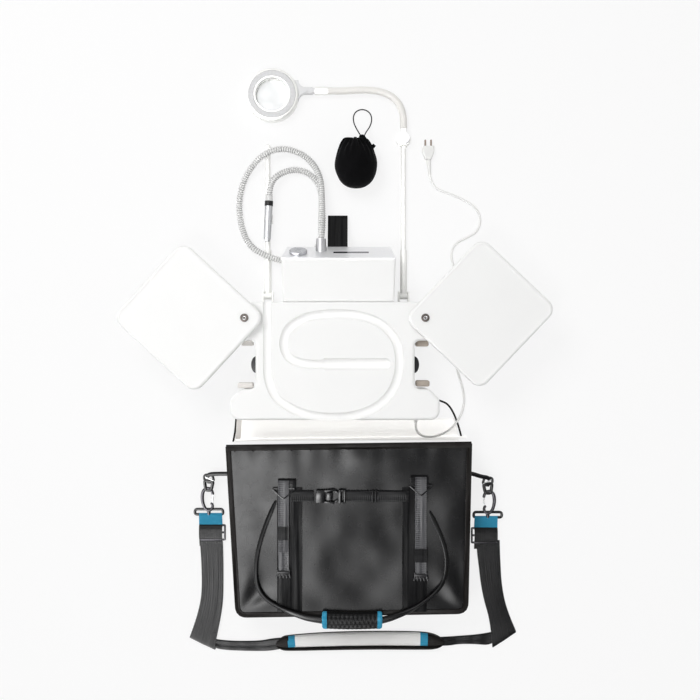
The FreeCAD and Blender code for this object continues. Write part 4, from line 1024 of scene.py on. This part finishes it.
# place of the side-release buckle, and its blocks: size, place from there, edge radius and turn. First the body,
# then its neck, its two sprung arms with their slots, and the two bars with the cheeks that join them
BUCKLE_AT = (0, -286.5, PANEL + 7.8)
BUCKLE_BLOCKS = (
    ((20, 27, 7.6), (-31, 0, 0), 2.2, 0), ((13, 17, 6.4), (-12, 0, -0.3), 1.8, 0),
    ((25, 4.4, 6.8), (-13, -12.4, 0), 1.6, -0.12), ((10, 4.0, 6.0), (3.5, -9.4, 0), 1.4, 0.5),
    ((25, 4.4, 6.8), (-13, 12.4, 0), 1.6, 0.12), ((10, 4.0, 6.0), (3.5, 9.4, 0), 1.4, -0.5),
    ((7, 29, 7.4), (10.5, 0, 0), 1.8, 0), ((4, 29, 6.6), (20.5, 0, -0.4), 1.4, 0),
    ((12, 3.2, 6.4), (15.5, -12.8, 0), 1.2, 0), ((12, 3.2, 6.4), (15.5, 12.8, 0), 1.2, 0),
)
# blocks of a ladder lock: two bars, the thumb edge's five teeth and two cheeks
LOCK_BLOCKS = (
    ((27, 5, 7), (0, -1, 0), 1.3, 0), ((25, 6, 5), (0, -6.5, -1), 1.3, 0),
    *(((4.0, 8, 6.4), (tooth * 6.8, -9.5, -0.2), 1.6, tooth * 0.16) for tooth in range(-2, 3)),
    ((3.4, 14, 5.6), (-12.6, -2, 0), 1.2, 0), ((3.4, 14, 5.6), (12.6, -2, 0), 1.2, 0),
)


def fold_normals(points):
    """Directions away from a strap that folds back on itself in the plane of Y and Z."""
    normals = [along.cross(Vector((1, 0, 0))).normalized() for along in directions(points)]
    return [-n for n in normals] if normals[-1].z < 0 else normals


def block_group(bm, blocks, at):
    """The blocks of a table, placed about a point."""
    for size, place, bevel, turn in blocks:
        rounded_block(bm, size, Vector(place) + Vector(at), bevel, turn=turn)


class KIT_OT_webbing(bpy.types.Operator):
    """Adds the bands, folded straps and compression strap on the bag"""
    bl_idname = "manicure_kit.webbing"
    bl_label = "Bag webbing"

    def execute(self, context):
        thick = context.scene.manicure_kit.sizes.strap_thickness / MM
        bm = bmesh.new()
        for low, high in BAG_BANDS:
            x = (low + high) / 2
            line = straight_line([(x, -268, PANEL + 1.3), (x, -530, PANEL + 1.3)], 60)
            line += straight_line([(x, -534.5, PANEL + 0.4), (x, -537, PANEL - 3), (x, -538.5, PANEL - 12)], 6)[1:]
            band(bm, high - low, thick * 0.7, line, Vector((0, -0.3, 1)))
        settle(bm, [v for v in bm.verts if v.co.z > BAG_TOP - 1.5 * MM])
        bands = finished("bag_bands", bm, "webbing_black", "bag")
        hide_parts("bag_webbing")
        # the compression strap, in two runs, with its end doubled back
        bm = bmesh.new()
        for width, share, route, count in (
                (23, 0.8, [(-93, -286, 3.6), (-46, -286, 3.8)], 14),
                (23, 0.8, [(20, -286, 3.8), (90, -286.5, 3.6), (156, -287, 3.6)], 30),
                (22, 0.7, [(92, -286.7, 5.6), (150, -287, 5.6)], 18)):
            band(bm, width, thick * share, straight_line([(x, y, PANEL + z) for x, y, z in route], count))
        settle(bm)
        finished("compression_strap", bm, "webbing_strap", "bag")
        self.folded_straps(thick)
        self.keepers()
        bm = bmesh.new()
        for route in EDGE_CORDS:
            wire(bm, 2.1, 12, smooth_line(route, 40))
        finished("edge_cords", bm, "binding_tape", "bag")
        bm = bmesh.new()
        band(bm, 11, 1.4, straight_line([(-214, -128, 3.2), (-215.5, -152, 3.6), (-217, -176, 3.4)], 20))
        finished("lip_facing", bm, "bay_pad_taupe", "bag")
        return {"FINISHED"}

    def folded_straps(self, thick):
        """Straps folded over their rings, each with a short tail lying back on the long leg."""
        bm = bmesh.new()
        z = PANEL + 4.4
        for low, high, head, foot in FOLDS:
            x = (low + high) / 2
            line = straight_line([(x, foot, z), (x, head - 4, z), (x, head, z + 0.9), (x, head + 1.2, z + 2.2),
                                  (x, head, z + 3.4), (x, head - 6, z + 4.0), (x, head - 70, z + 3.4),
                                  (x, head - 150, z + 2.8)], 110)
            band(bm, high - low - 1, thick * 0.85, line, fold_normals(line))
        settle(bm)
        finished("folded_straps", bm, "webbing_ribbed", "bag")

    def keepers(self):
        """Elastic keepers round the straps, and the padded loops at the heads of the folded ones."""
        bm = bmesh.new()
        for x, y, wide in ((-109, -364, 25.5), (181.5, -411, 26.5)):
            band(bm, wide, 2.6, straight_line([(x, y + 14, PANEL + 8.6), (x, y, PANEL + 9.8),
                                               (x, y - 14, PANEL + 8.6)], 16))
        for x in (80, 86.5):
            rounded_block(bm, (4.6, 26, 6.4), (x, -286.5, PANEL + 3.8), 1.2)
        for low, high, head, _ in FOLDS:
            x = (low + high) / 2 + (7 if low < 0 else -3)
            loop = straight_line([(x, head - 20, PANEL + 3), (x, head - 8, PANEL + 4.6),
                                  (x, head + 1, PANEL + 3.4), (x, head + 2.5, PANEL + 0.5)], 22)
            band(bm, 38, 5.0, loop, Vector((0, 0.3, 1)))
        settle(bm)
        finished("strap_keepers", bm, "webbing_strap", "bag")


class KIT_OT_buckles(bpy.types.Operator):
    """Adds the side-release buckle, the triangle rings and the ladder locks"""
    bl_idname = "manicure_kit.buckles"
    bl_label = "Bag buckles"

    def execute(self, context):
        bm = bmesh.new()
        block_group(bm, BUCKLE_BLOCKS, BUCKLE_AT)
        settle(bm)
        buckle = finished("side_release_buckle", bm, "gloss_black_plastic", "bag")
        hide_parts("bag_buckle")
        bm = bmesh.new()
        for low, high, _, foot in FOLDS:
            block_group(bm, LOCK_BLOCKS, ((low + high) / 2, foot, PANEL + 5.5))
        settle(bm)
        finished("ladder_locks", bm, "satin_black_plastic", "bag")
        bm = bmesh.new()
        for low, high, head, _ in FOLDS:
            x, y, z = (low + high) / 2, head - 17, PANEL + 6.2
            ring_wire(bm, [(mm(x - 25, y + 1, z), 5), (mm(x + 25, y + 1, z), 5), (mm(x, y - 21, z + 3), 5)], 1.8)
        settle(bm)
        finished("triangle_rings", bm, "gloss_black_plastic", "bag")
        return {"FINISHED"}


class KIT_OT_handle(bpy.types.Operator):
    """Adds the carrying handle and its quilted grip"""
    bl_idname = "manicure_kit.handle"
    bl_label = "Handle and grip"

    def execute(self, context):
        count, flat_from = 120, 86
        bm = bmesh.new()
        for route, side in ((LEFT_HANDLE, 1), (RIGHT_HANDLE, -1)):
            line = smooth_line(route, count)
            # rolled webbing: it stands on its edge and leans outwards, and turns flat where it enters the grip
            leans, sizes = [], []
            for k, along in enumerate(directions(line)):
                outward = along.cross(UP).normalized() * side
                flat = max(0.0, (k - flat_from) / (count - flat_from))
                lean = 0.45 + 0.5 * flat
                leans.append((outward * (1 - lean) + UP * lean).normalized())
                sizes.append((0.5 + 0.5 * min(1, k / 8) + 0.35 * flat,) * 2)
            sweep(bm, flat_outline(11.5 * MM, 5.0 * MM), frames_along(line, leans), sizes=sizes)
        handle = finished("handle_webbing", bm, "webbing_satin", "bag")
        subdivided(handle)
        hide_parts("bag_handle")
        self.grip()
        return {"FINISHED"}

    def grip(self):
        """Padded sleeve closed round the handle, quilted in rows, with a turquoise band at each end."""
        middle = mm(*GRIP_MIDDLE)
        half_x, half_y, half_z = (value * MM for value in GRIP_HALF)
        tilt = Matrix.Rotation(GRIP_TILT, 3, "X")
        count, sides = 96, 48
        frames, sizes = [], []
        for k in range(count + 1):
            t = k / count
            at = middle + Vector(((2 * t - 1) * half_x, -2.0 * MM * math.sin(math.pi * t), 0))
            frames.append(Matrix.Translation(at) @ (tilt @ Matrix(((0, 0, 1), (1, 0, 0), (0, 1, 0)))).to_4x4())
            sizes.append((0.8 + 0.2 * min(1.0, min(t, 1 - t) / 0.02),) * 2)
        outline = [(half_y * math.copysign(abs(x) ** 0.7, x), half_z * math.copysign(abs(y) ** 0.8, y))
                   for x, y in round_outline(1, sides)]
        bm = bmesh.new()
        sweep(bm, outline, frames, sizes=sizes)
        for v in bm.verts:
            t = (v.co.x - middle.x) / half_x / 2 + 0.5
            out = tilt.inverted() @ (v.co - middle)
            out = tilt @ Vector((0, out.y, out.z))
            if 0.1 < t < 0.9 and out.length > 0:
                angle = math.atan2(out.z, out.y)
                row = t * QUILT_ROWS * math.pi
                cells = abs(math.sin(row + 1.6 * angle) * math.sin(row - 1.6 * angle))
                v.co -= out.normalized() * (1 - cells ** 0.4) * QUILT_DEPTH
            elif 0.04 <= t <= 0.08 or 0.92 <= t <= 0.96:
                # the bands stand out by their own thickness
                v.co += out.normalized() * 0.5 * MM
        for face in bm.faces:
            t = (face.calc_center_median().x - middle.x) / half_x / 2 + 0.5
            face.material_index = 1 if min(t, 1 - t) < GRIP_BAND else 0
        grip = finished("grip_sleeve", bm, ("webbing_black", "webbing_accent"), "bag")
        subdivided(grip)
        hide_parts("bag_grip")


# ---------------------------------------------------------------- shoulder strap
# both edges of each leg down to its fold, and of each run from the fold to the pad
LEGS = (([(-301, -401, 6), (-299.5, -425, 3.6), (-298, -455, 3), (-297, -495, 3), (-299, -530, 3.2),
          (-308, -568, 4.2), (-321, -606, 7), (-324, -613, 6.4), (-322.5, -614.5, 3.4), (-313, -600, 2.6)],
         [(-250, -401, 6), (-249.5, -425, 3.6), (-249, -455, 3), (-249, -495, 3), (-249.5, -530, 3.2),
          (-254, -566, 4.6), (-266, -625, 8.4), (-268.5, -640, 6.8), (-266, -641, 3.6), (-262, -622, 2.8)]),
        ([(311, -398, 6), (313, -425, 3.6), (317, -455, 3), (321, -492, 3), (328.5, -532, 3.2),
          (340, -570, 4.4), (346, -622, 8), (346.5, -635, 6.6), (348.5, -636.5, 3.6), (349, -616, 2.8)],
         [(363, -398, 6), (364, -425, 3.6), (365.5, -455, 3), (367.5, -492, 3), (374, -532, 3.2),
          (385.5, -567, 4.4), (397, -594, 7), (399.5, -601, 6), (398, -603.5, 3.4), (388, -590, 2.6)]))
RUNS = (([(-292, -610, 1.6), (-272, -618, 2.2), (-235, -621.5, 3.6), (-200, -622, 3.4), (-165, -621, 4),
          (-140, -615, 6.5), (-118, -613, 8)],
         [(-288, -627, 1.6), (-268, -639.5, 2.0), (-240, -643, 2.2), (-200, -644.5, 2.0), (-165, -645, 2.4),
          (-140, -643, 5), (-118, -638, 7)]),
        ([(368, -597, 1.6), (345, -603, 2.4), (310, -608, 3.4), (275, -610.5, 3.2), (248, -612, 5),
          (222, -612, 7.5)],
         [(362, -617, 1.6), (345, -633, 2.2), (310, -629.5, 2.0), (275, -629, 2.0), (248, -633, 4),
          (222, -632, 6.5)]))
# the pad's two long edges, and its section as shares of its width and height
PAD_EDGES = ([(-132, -624, 9), (-121, -611, 9), (-103, -607.5, 9), (-20, -601, 9), (84, -598.5, 9),
              (188, -599.5, 9), (216, -604, 9), (234, -613, 9), (239, -619.5, 9)],
             [(-132, -633, 9), (-121, -641.5, 9), (-103, -643, 9), (-20, -641.5, 9), (84, -640, 9),
              (188, -640.5, 9), (216, -640, 9), (234, -634, 9), (239, -627, 9)])
PAD_HEIGHT = 17.0
PAD_PROFILE = [(0.0, 0.35), (0.012, 0.66), (0.04, 0.88), (0.085, 0.95), (0.12, 1.0), (0.24, 1.06), (0.40, 1.08),
               (0.55, 1.04), (0.68, 0.96), (0.725, 0.84), (0.745, 0.74), (0.775, 0.92), (0.83, 1.06), (0.9, 1.0),
               (0.96, 0.78), (1.0, 0.42), (0.985, 0.14), (0.93, 0.0), (0.5, 0.0), (0.07, 0.0), (0.015, 0.12)]
# the white face takes these sides of the section, and the turquoise bands lie between these places along the pad
FACE_SIDES = range(1, 9)
PAD_BANDS = ((-105, -89.5), (186, 202))


def between_edges(edges, count):
    """Frames and sizes for sweeping a unit-wide section between two long edges given as route points."""
    one, other = (smooth_line(edge, count) for edge in edges)
    half = count // 2
    facing = (one[half + 1] - one[half]).cross(other[half] - one[half])
    side = 1 if facing.z > 0 or abs(facing.z) < facing.length * 0.2 else -1
    frames, sizes = [], []
    for near, far, along in zip(one, other, directions([a + b for a, b in zip(one, other)])):
        across = (far - near).normalized()
        normal = along.cross(across).normalized() * side
        frames.append(frame_at((near + far) / 2, across, normal, across.cross(normal)))
        sizes.append(((far - near).length, 1))
    return frames, sizes


def edged_band(bm, edges, count, thickness, dish=0.0):
    """Webbing between two long edges, dished across its width. Thickness and dish are in millimetres."""
    outline = [(x / 10, y + (0.25 - x * x / 100) * dish * MM) for x, y in flat_outline(10, thickness * MM)]
    frames, sizes = between_edges(edges, count)
    sweep(bm, outline, frames, sizes=sizes)


def creased_outline(t):
    """Unit-wide outline of webbing of thickness t folded in half lengthways: two rolls, a valley between them."""
    return [(-0.5, 0), (-0.47, t * 0.8), (-0.36, t * 1.15), (-0.2, t * 0.75), (-0.05, t * 0.5), (0.1, t * 0.75),
            (0.24, t * 1.25), (0.4, t), (0.48, t * 0.55), (0.5, 0), (0.45, -t * 0.4), (0, -t * 0.4),
            (-0.45, -t * 0.4)]


class KIT_OT_shoulder(bpy.types.Operator):
    """Adds the shoulder strap and its pad"""
    bl_idname = "manicure_kit.shoulder"
    bl_label = "Shoulder strap and pad"

    def execute(self, context):
        thick = context.scene.manicure_kit.sizes.strap_thickness * 0.75 / MM
        bm = bmesh.new()
        for edges in LEGS:
            # each leg is dished a little, as soft webbing is once it has been folded
            edged_band(bm, edges, 170, thick, 2.2)
        for edges in RUNS:
            frames, sizes = between_edges(edges, 110)
            sizes = [(wide, 1.0 + 0.35 * noise.noise(Vector((k * 0.06, 0, 0))))
                     for k, (wide, _) in enumerate(sizes)]
            sweep(bm, creased_outline(3.0 * MM), frames, sizes=sizes)
        for v in bm.verts:
            v.co.z = max(v.co.z, 0.5 * MM)
        strap = finished("shoulder_webbing", bm, "webbing_satin", "bag", 60)
        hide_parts("shoulder_strap")
        self.pad()
        return {"FINISHED"}

    def pad(self):
        """Padded sleeve with a bare white face, a full rolled edge below it and a turquoise band at each end."""
        count = 187
        frames, sizes = between_edges(PAD_EDGES, count)
        # it closes down over its last 14 rows at either end
        sizes = [(wide, 0.55 + 0.45 * math.sqrt(min(1.0, min(k, count - 1 - k) / 14)))
                 for k, (wide, _) in enumerate(sizes)]
        outline = [(x - 0.5, (y - 0.5) * PAD_HEIGHT * MM) for x, y in PAD_PROFILE]
        bm = bmesh.new()
        faces = sweep(bm, outline, frames, sizes=sizes)
        around = len(outline)
        for number, face in enumerate(faces):
            middle, row, side = face.calc_center_median(), number // around, 0
            if row < count - 1:
                side = min(range(around), key=lambda k: (
                    middle - self.middle(frames, sizes, outline, row, k)).length)
            at = middle.x / MM
            if side not in FACE_SIDES or not PAD_BANDS[0][0] < at < PAD_BANDS[1][1]:
                face.material_index = 1
            elif any(low < at < high for low, high in PAD_BANDS):
                face.material_index = 2
        for v in bm.verts:
            if v.co.z > 12 * MM:
                v.co.z += 0.9 * MM * noise.noise(v.co * 28) + 0.3 * MM * noise.noise(v.co * 90)
            v.co.z = max(v.co.z, 0.4 * MM)
        finishes = ("pad_face_white", "binding_tape", "webbing_accent")
        pad = finished("pad_sleeve", bm, finishes, "bag", 60)
        subdivided(pad)
        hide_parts("shoulder_pad")

    def middle(self, frames, sizes, outline, row, side):
        """Middle of one face of the sleeve."""
        spots = [frames[index] @ Vector((x * sizes[index][0], y * sizes[index][1], 0))
                 for index in (row, row + 1) for x, y in (outline[side], outline[(side + 1) % len(outline)])]
        return sum(spots, Vector()) / 4


# middle of each swivel ring, the way to the bag, and where the tab is sewn to the bag's side
STRAP_ENDS = (((-280.4, -335), 1, (-226.5, -246.5)), ((336.1, -341.5), -1, (286.0, -245.0)))
# middle line of the snap hook's spine and of its gate, across and up from the ring
SPINE = [(9, 41), (7, 51), (-3, 54), (-12, 48), (-14.5, 34), (-13, 20), (-8, 8), (0, 3), (7, 7), (9.5, 15),
         (7, 19)]
GATE = [(9.2, 40), (9.6, 33), (9.0, 24), (7.5, 17)]
# turquoise webbing that comes over the ring, and the strap's end wrapping the slider's bars: a full roll at the
# top, a second one below, then it runs down flat
OVER_RING = ([(-25.4, -3, 9), (-25.4, -7.5, 12.6), (-25.6, -14, 10.4), (-25.8, -24, 8), (-25.8, -33, 7)],
             [(25.4, -3, 9), (25.4, -7.5, 12.6), (25.4, -14, 10.4), (25.6, -24, 8), (25.6, -33, 7)])
WRAP = [(-27, 6.2), (-30, 10.6), (-36, 12.4), (-43, 12.8), (-50, 12.6), (-56, 11.4), (-59.5, 8.4), (-61, 5.6),
        (-64.5, 6.8), (-68, 6.6), (-71, 4.6), (-76, 4.0)]


class KIT_OT_hooks(bpy.types.Operator):
    """Adds the tabs, rings, snap hooks and sliders at both ends of the shoulder strap"""
    bl_idname = "manicure_kit.hooks"
    bl_label = "Snap hooks and sliders"

    def execute(self, context):
        dark, bright, plastic, tape, accent = (bmesh.new() for _ in range(5))
        for (x, y), inward, (seam_x, seam_y) in STRAP_ENDS:
            def at(across, up, z):
                """A place given from the middle of the swivel ring, across towards the bag."""
                return mm(x + across * inward, y + up, z)

            # sewn tab from the bag's side seam, and the moulded tongue that it holds
            line = spline_points([mm(seam_x + 3 * inward, seam_y, 40), mm(seam_x - 8 * inward, seam_y, 38),
                                  at(16, 87, 30), at(2, 85, 24), at(-3, 80, 21)], 30)
            band(tape, 9, 6, line)
            ring_wire(plastic, [(at(-9, 84, 22), 7), (at(9, 84, 22), 5), (at(13, 70, 20), 5),
                                (at(-8.5, 71, 20), 5)], 2.8)
            ring_wire(plastic, [(at(-8, 71, 20), 5), (at(11, 69, 20), 5), (at(6, 49, 16), 5),
                                (at(-6, 49, 16), 5)], 3.7)
            rounded_block(plastic, (9, 5, 4.6), at(2, 66.5, 19) / MM, 1.4, 2)
            wire(bright, 1.2, 10, evenly([at(-6, 79.5, 24), at(12, 71, 23)], 8))
            # snap hook: flat-sided cast spine with its nose, and a sprung wire gate
            line = spline_points([at(a, u, 13 + 2.5 * (u > 45)) for a, u in SPINE], 64)
            wire(dark, 3.9, 14, line, [1 - 0.25 * abs(k - 26) / 38 for k in range(64)])
            for end, radius in ((line[0], 3.2), (line[-1], 3.4)):
                made = bmesh.ops.create_uvsphere(dark, u_segments=14, v_segments=8, radius=radius * MM)["verts"]
                bmesh.ops.translate(dark, verts=made, vec=end)
            wire(bright, 1.3, 10, spline_points([at(a, u, 14) for a, u in GATE], 14))
            wire(dark, 4.0, 16, evenly([at(0, 6, 11), at(0, -6.5, 9)], 6))
            ring_wire(plastic, [(at(-31.5, -5.6, 8.4), 5.4), (at(31.5, -5.6, 8.4), 5.4),
                                (at(30.5, 6.2, 9.4), 5.4), (at(-30.5, 6.2, 9.4), 5.4)], 3.1)
            self.webbing_end(x + 4 * inward, y, 3.2 * inward, tape, accent, dark)
        hardware = finished("snap_hooks", dark, "hook_black", "bag", 60)
        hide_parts("strap_hardware")
        finished("hook_gates", bright, "stainless_steel", "bag", 60)
        finished("strap_rings", plastic, "gloss_black_plastic", "bag", 60)
        finished("strap_tabs", tape, "webbing_satin", "bag", 60)
        finished("strap_ends_accent", accent, "webbing_accent", "bag")
        return {"FINISHED"}

    def webbing_end(self, x, y, beside, tape, accent, dark):
        """Turquoise webbing from the ring, and the strap doubled over its slider, whose near end stands out
        beside the webbing."""
        edged_band(accent, [[(x + a, y + u, z) for a, u, z in edge] for edge in OVER_RING], 40, 3.0)
        for bar in (-30, -46, -62):
            rounded_block(dark, (55, 4.4, 4.4), (x + beside, y + bar, 5.4), 1.6)
        for side in (-1, 1):
            rounded_block(dark, (4.2, 35, 4.8), (x + beside + side * 27.5, y - 46, 5.6), 1.8)
        edged_band(tape, [[(x + side * 25.6, y + u, z) for u, z in WRAP] for side in (-1, 1)], 90, 2.2)


# ---------------------------------------------------------------- pouch
# middle of the pouch's body, then of its neck; distance along it, half width and half height of its profile
POUCH_X, POUCH_Y, POUCH_Z = 45.0, 424.0, 37.5
NECK_X, NECK_Z = 43.0, 38.0
# depth of the gathers round the neck, and of the dents in the body where it isn't gathered
FOLD_DEPTH, DENT_DEPTH = 2.4 * MM, 1.6 * MM
POUCH_PROFILE = ((-48, 3, 3), (-47, 13, 11), (-44, 21.5, 18), (-39, 29, 25), (-32, 35, 31), (-23, 40, 36),
                 (-12, 44.5, 39), (0, 46.3, 40), (12, 45.8, 39), (22, 43.8, 37), (30, 41, 34), (37, 38.5, 30),
                 (43, 36, 26), (47, 34, 23), (51, 31.5, 20), (55, 29, 17), (58, 26.5, 14.5), (60, 22, 12),
                 (60.5, 16, 9.5), (60.5, 9, 7))


class KIT_OT_pouch(bpy.types.Operator):
    """Adds the gathered velvet pouch, its knot and its tag"""
    bl_idname = "manicure_kit.pouch"
    bl_label = "Velvet pouch"

    def execute(self, context):
        folds = context.scene.manicure_kit.sizes.pouch_folds
        frames, sizes = [], []
        for along, half_wide, half_high in spline_points([Vector(p) for p in POUCH_PROFILE], 90):
            share = max(0.0, min(1.0, (along + 10) / 65))
            middle = mm(POUCH_X, POUCH_Y + along, POUCH_Z).lerp(mm(NECK_X, POUCH_Y + along, NECK_Z), share)
            frames.append(frame_at(middle, (-1, 0, 0), (0, 0, 1), (0, 1, 0)))
            sizes.append((half_wide * MM, half_high * MM))
        bm = bmesh.new()
        sweep(bm, round_outline(1.0, 120), frames, sizes=sizes, caps=False)
        rim = max(v.co.y for v in bm.verts)
        for v in bm.verts:
            out = v.co - mm(NECK_X, 0, NECK_Z)
            out.y = 0
            angle = math.atan2(out.z, out.x)
            gather = max(0.0, min(1.0, (v.co.y / MM - POUCH_Y - 2) / 50)) ** 1.6
            wobble = noise.noise(Vector((math.cos(angle) * 1.5, math.sin(angle) * 1.5, 0.3)))
            depth = gather * FOLD_DEPTH * (math.cos(folds * angle + 3 * wobble) - 0.3)
            if out.length > 0:
                v.co += out.normalized() * (depth + DENT_DEPTH * (1 - gather) * noise.noise(v.co * 32))
            if v.co.y > rim - 20 * MM:
                v.co.y += 1.5 * MM * gather * math.sin(5 * angle)
            v.co.z = max(v.co.z, 0.6 * MM + 0.4 * MM * abs(noise.noise(v.co * 60)))
        # close the foot with a small cap and the neck with the cloth drawn in
        for ring_y, inward in ((min(v.co.y for v in bm.verts), 0.0), (rim, -7 * MM)):
            edge_loop = [e for e in bm.edges if e.is_boundary and abs(e.verts[0].co.y - ring_y) < 8 * MM]
            for shrink, deeper in ((0.75, 0.35), (0.45, 0.8), (0.2, 1.0)):
                made = bmesh.ops.extrude_edge_only(bm, edges=edge_loop)["geom"]
                ring = [g for g in made if isinstance(g, bmesh.types.BMVert)]
                centre = sum((v.co for v in ring), Vector()) / len(ring)
                for v in ring:
                    v.co = centre + (v.co - centre) * shrink + Vector((0, inward * deeper * 0.5, 0))
                edge_loop = [g for g in made if isinstance(g, bmesh.types.BMEdge) and g.is_boundary]
            bmesh.ops.holes_fill(bm, edges=edge_loop, sides=0)
        bmesh.ops.recalc_face_normals(bm, faces=bm.faces[:])
        pouch = finished("pouch_velvet", bm, "velvet_black", "pouch", 80)
        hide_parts("pouch_body")
        bm = bmesh.new()
        for at, radius in ((mm(58, 487.5, 40), 6.4), (mm(54.5, 483, 38), 5.0), (mm(62, 484, 41), 4.8)):
            made = bmesh.ops.create_icosphere(bm, subdivisions=3, radius=radius * MM)["verts"]
            bmesh.ops.scale(bm, verts=made, vec=(1.1, 0.8, 0.9))
            bmesh.ops.translate(bm, verts=made, vec=at)
        finished("pouch_knot", bm, "velvet_black", "pouch")
        bm = bmesh.new()
        rounded_block(bm, (8, 11, 1), (81.5, 466, 40), 0.4, 2, turn=-0.7)
        finished("pouch_tag", bm, "velvet_black", "pouch")
        return {"FINISHED"}


# ---------------------------------------------------------------- fittings of the table and the unit
# place, width and depth of the blocks of painted shade in each hand bay's corners: dark in the right, pale in the
# lit left
BAY_SHADE_PATCHES = {"right": ("bay_pad_brown", ((185, 37, 27, 13), (186, -48, 29, 13))),
            "left": ("bay_pad_taupe", ((-187, 38, 25, 12), (-191, -52, 33, 12)))}
# how far a latch button stands out of its wall, the radius of its cap, its stop flange's length and rim
LATCH_PROUD, LATCH_CAP, FLANGE_LENGTH, FLANGE_RIM = 8.5 * MM, 10.4 * MM, 2.5 * MM, 3.3 * MM
# profile of the unit's strap in the plane of Y and Z
UNIT_STRAP = ((248.2, 40), (262, 35.5), (284, 24), (304, 15), (317, 10.5), (321, 6), (316, 2), (300, 1.5),
              (287, 1.5))


class KIT_OT_bay_fittings(bpy.types.Operator):
    """Adds the latch buttons of the hand bays, blocks of painted shade in their corners, and the sockets of the
    pivot screws
    """
    bl_idname = "manicure_kit.bay_pads"
    bl_label = "Bay fittings"

    def execute(self, context):
        for side, body in ((-1, "latch_left"), (1, "latch_right")):
            self.latch(side, body)
        for side, (finish, pads) in BAY_SHADE_PATCHES.items():
            bm = bmesh.new()
            for x, y, wide, deep in pads:
                # blocks of painted shade in the bay's corners, where there is only shadow or light
                rounded_block(bm, (wide, deep, 30), (x, y, 78), 4, 4)
            finished("bay_shades_" + side, bm, finish, "root")
        bm = bmesh.new()
        low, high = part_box("pivot_screws")
        for x in (low.x + 8.6 * MM, high.x - 8.6 * MM):
            centre = Vector((x, (low.y + high.y) / 2, high.z - 1.3 * MM))
            corners = [(centre + mm(3.1 * a, 3.1 * b, 0), 3.1) for a, b in ((1, 1), (-1, 1), (-1, -1), (1, -1))]
            ring_wire(bm, corners, 0.8, sides=12, steps=9)
        finished("screw_sockets", bm, "stainless_steel", "root")
        return {"FINISHED"}

    def latch(self, side, body):
        """A latch button: a half round cap that stands out of the bay's wall, on a shank with its stop flange."""
        low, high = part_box("hand_" + body)
        face, inner = (low.x, high.x) if side < 0 else (high.x, low.x)
        wall, flange = face - side * LATCH_PROUD, inner + side * FLANGE_LENGTH
        middle, half = (low + high) / 2, (high.y - low.y) / 2 - FLANGE_RIM
        height = high.z - low.z - 2 * FLANGE_RIM
        bm = bmesh.new()
        made = bmesh.ops.create_circle(bm, cap_ends=True, segments=48, radius=1.0)["verts"]
        bmesh.ops.scale(bm, verts=made, vec=(LATCH_CAP, half, 1))
        bmesh.ops.translate(bm, verts=made, vec=(wall, middle.y, low.z + FLANGE_RIM))
        bmesh.ops.bisect_plane(bm, geom=bm.verts[:] + bm.edges[:] + bm.faces[:], plane_co=(wall, 0, 0),
                               plane_no=(-side, 0, 0), clear_outer=True)
        top = bmesh.ops.extrude_face_region(bm, geom=bm.faces[:])["geom"]
        raised = [g for g in top if isinstance(g, bmesh.types.BMVert)]
        bmesh.ops.translate(bm, verts=raised, vec=(0, 0, height))
        rim = [e for e in bm.edges if all(v in raised for v in e.verts) and abs(e.verts[0].co.x - wall) > 1e-5]
        bmesh.ops.bevel(bm, geom=rim, offset=1.6 * MM, affect="EDGES", segments=3, profile=0.5)
        bmesh.ops.recalc_face_normals(bm, faces=bm.faces[:])
        for start, end, grow in ((wall, flange, 0.0), (flange, inner, FLANGE_RIM)):
            size = Vector((abs(end - start), 2 * (half + grow), height + 2 * grow))
            rounded_block(bm, size / MM, Vector(((start + end) / 2, middle.y, middle.z)) / MM, 0.5, 2)
        button = finished("button_" + body, bm, "satin_black_plastic", body)
        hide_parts("hand_" + body)


class KIT_OT_carry_strap(bpy.types.Operator):
    """Adds the webbing strap on the back of the suction unit"""
    bl_idname = "manicure_kit.carry_strap"
    bl_label = "Unit strap"

    def execute(self, context):
        low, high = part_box("carry_strap")
        x = (low.x + high.x) / 2 / MM
        points = smooth_line([(x, y, z) for y, z in UNIT_STRAP], 90)
        bm = bmesh.new()
        band(bm, (high.x - low.x) / MM + 0.6, 2.2, points, fold_normals(points))
        strap = finished("unit_strap", bm, "strap_black", "root")
        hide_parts("carry_strap")
        return {"FINISHED"}


# ---------------------------------------------------------------- panel and registration
STEPS = [KIT_OT_stage, KIT_OT_carried, KIT_OT_hose, KIT_OT_lead, KIT_OT_drawstring, KIT_OT_bag, KIT_OT_webbing,
         KIT_OT_buckles, KIT_OT_handle, KIT_OT_shoulder, KIT_OT_hooks, KIT_OT_pouch, KIT_OT_bay_fittings,
         KIT_OT_carry_strap]


class KIT_PT_panel(bpy.types.Panel):
    bl_label = "Manicure Table"
    bl_idname = "KIT_PT_panel"
    bl_space_type = "VIEW_3D"
    bl_region_type = "UI"
    bl_category = "Manicure Table"

    def draw(self, context):
        kit = context.scene.manicure_kit
        for group in (kit.plastics, kit.fabrics, kit.sizes):
            box = self.layout.box()
            for name in group.__annotations__:
                box.prop(group, name)
        for step in STEPS:
            self.layout.operator(step.bl_idname)


CLASSES = [KitPlastics, KitFabrics, KitSizes, KitSettings, *STEPS, KIT_PT_panel]


def register():
    """Makes the settings, the operators and the panel known to Blender."""
    for one in CLASSES:
        bpy.utils.register_class(one)
    bpy.types.Scene.manicure_kit = PointerProperty(type=KitSettings)


def unregister():
    """Takes them out again."""
    del bpy.types.Scene.manicure_kit
    for one in reversed(CLASSES):
        bpy.utils.unregister_class(one)


def main():
    """Runs each operator in turn."""
    register()
    for step in STEPS:
        group, call = step.bl_idname.split(".")
        getattr(getattr(bpy.ops, group), call)()


if __name__ == "__main__":
    main()
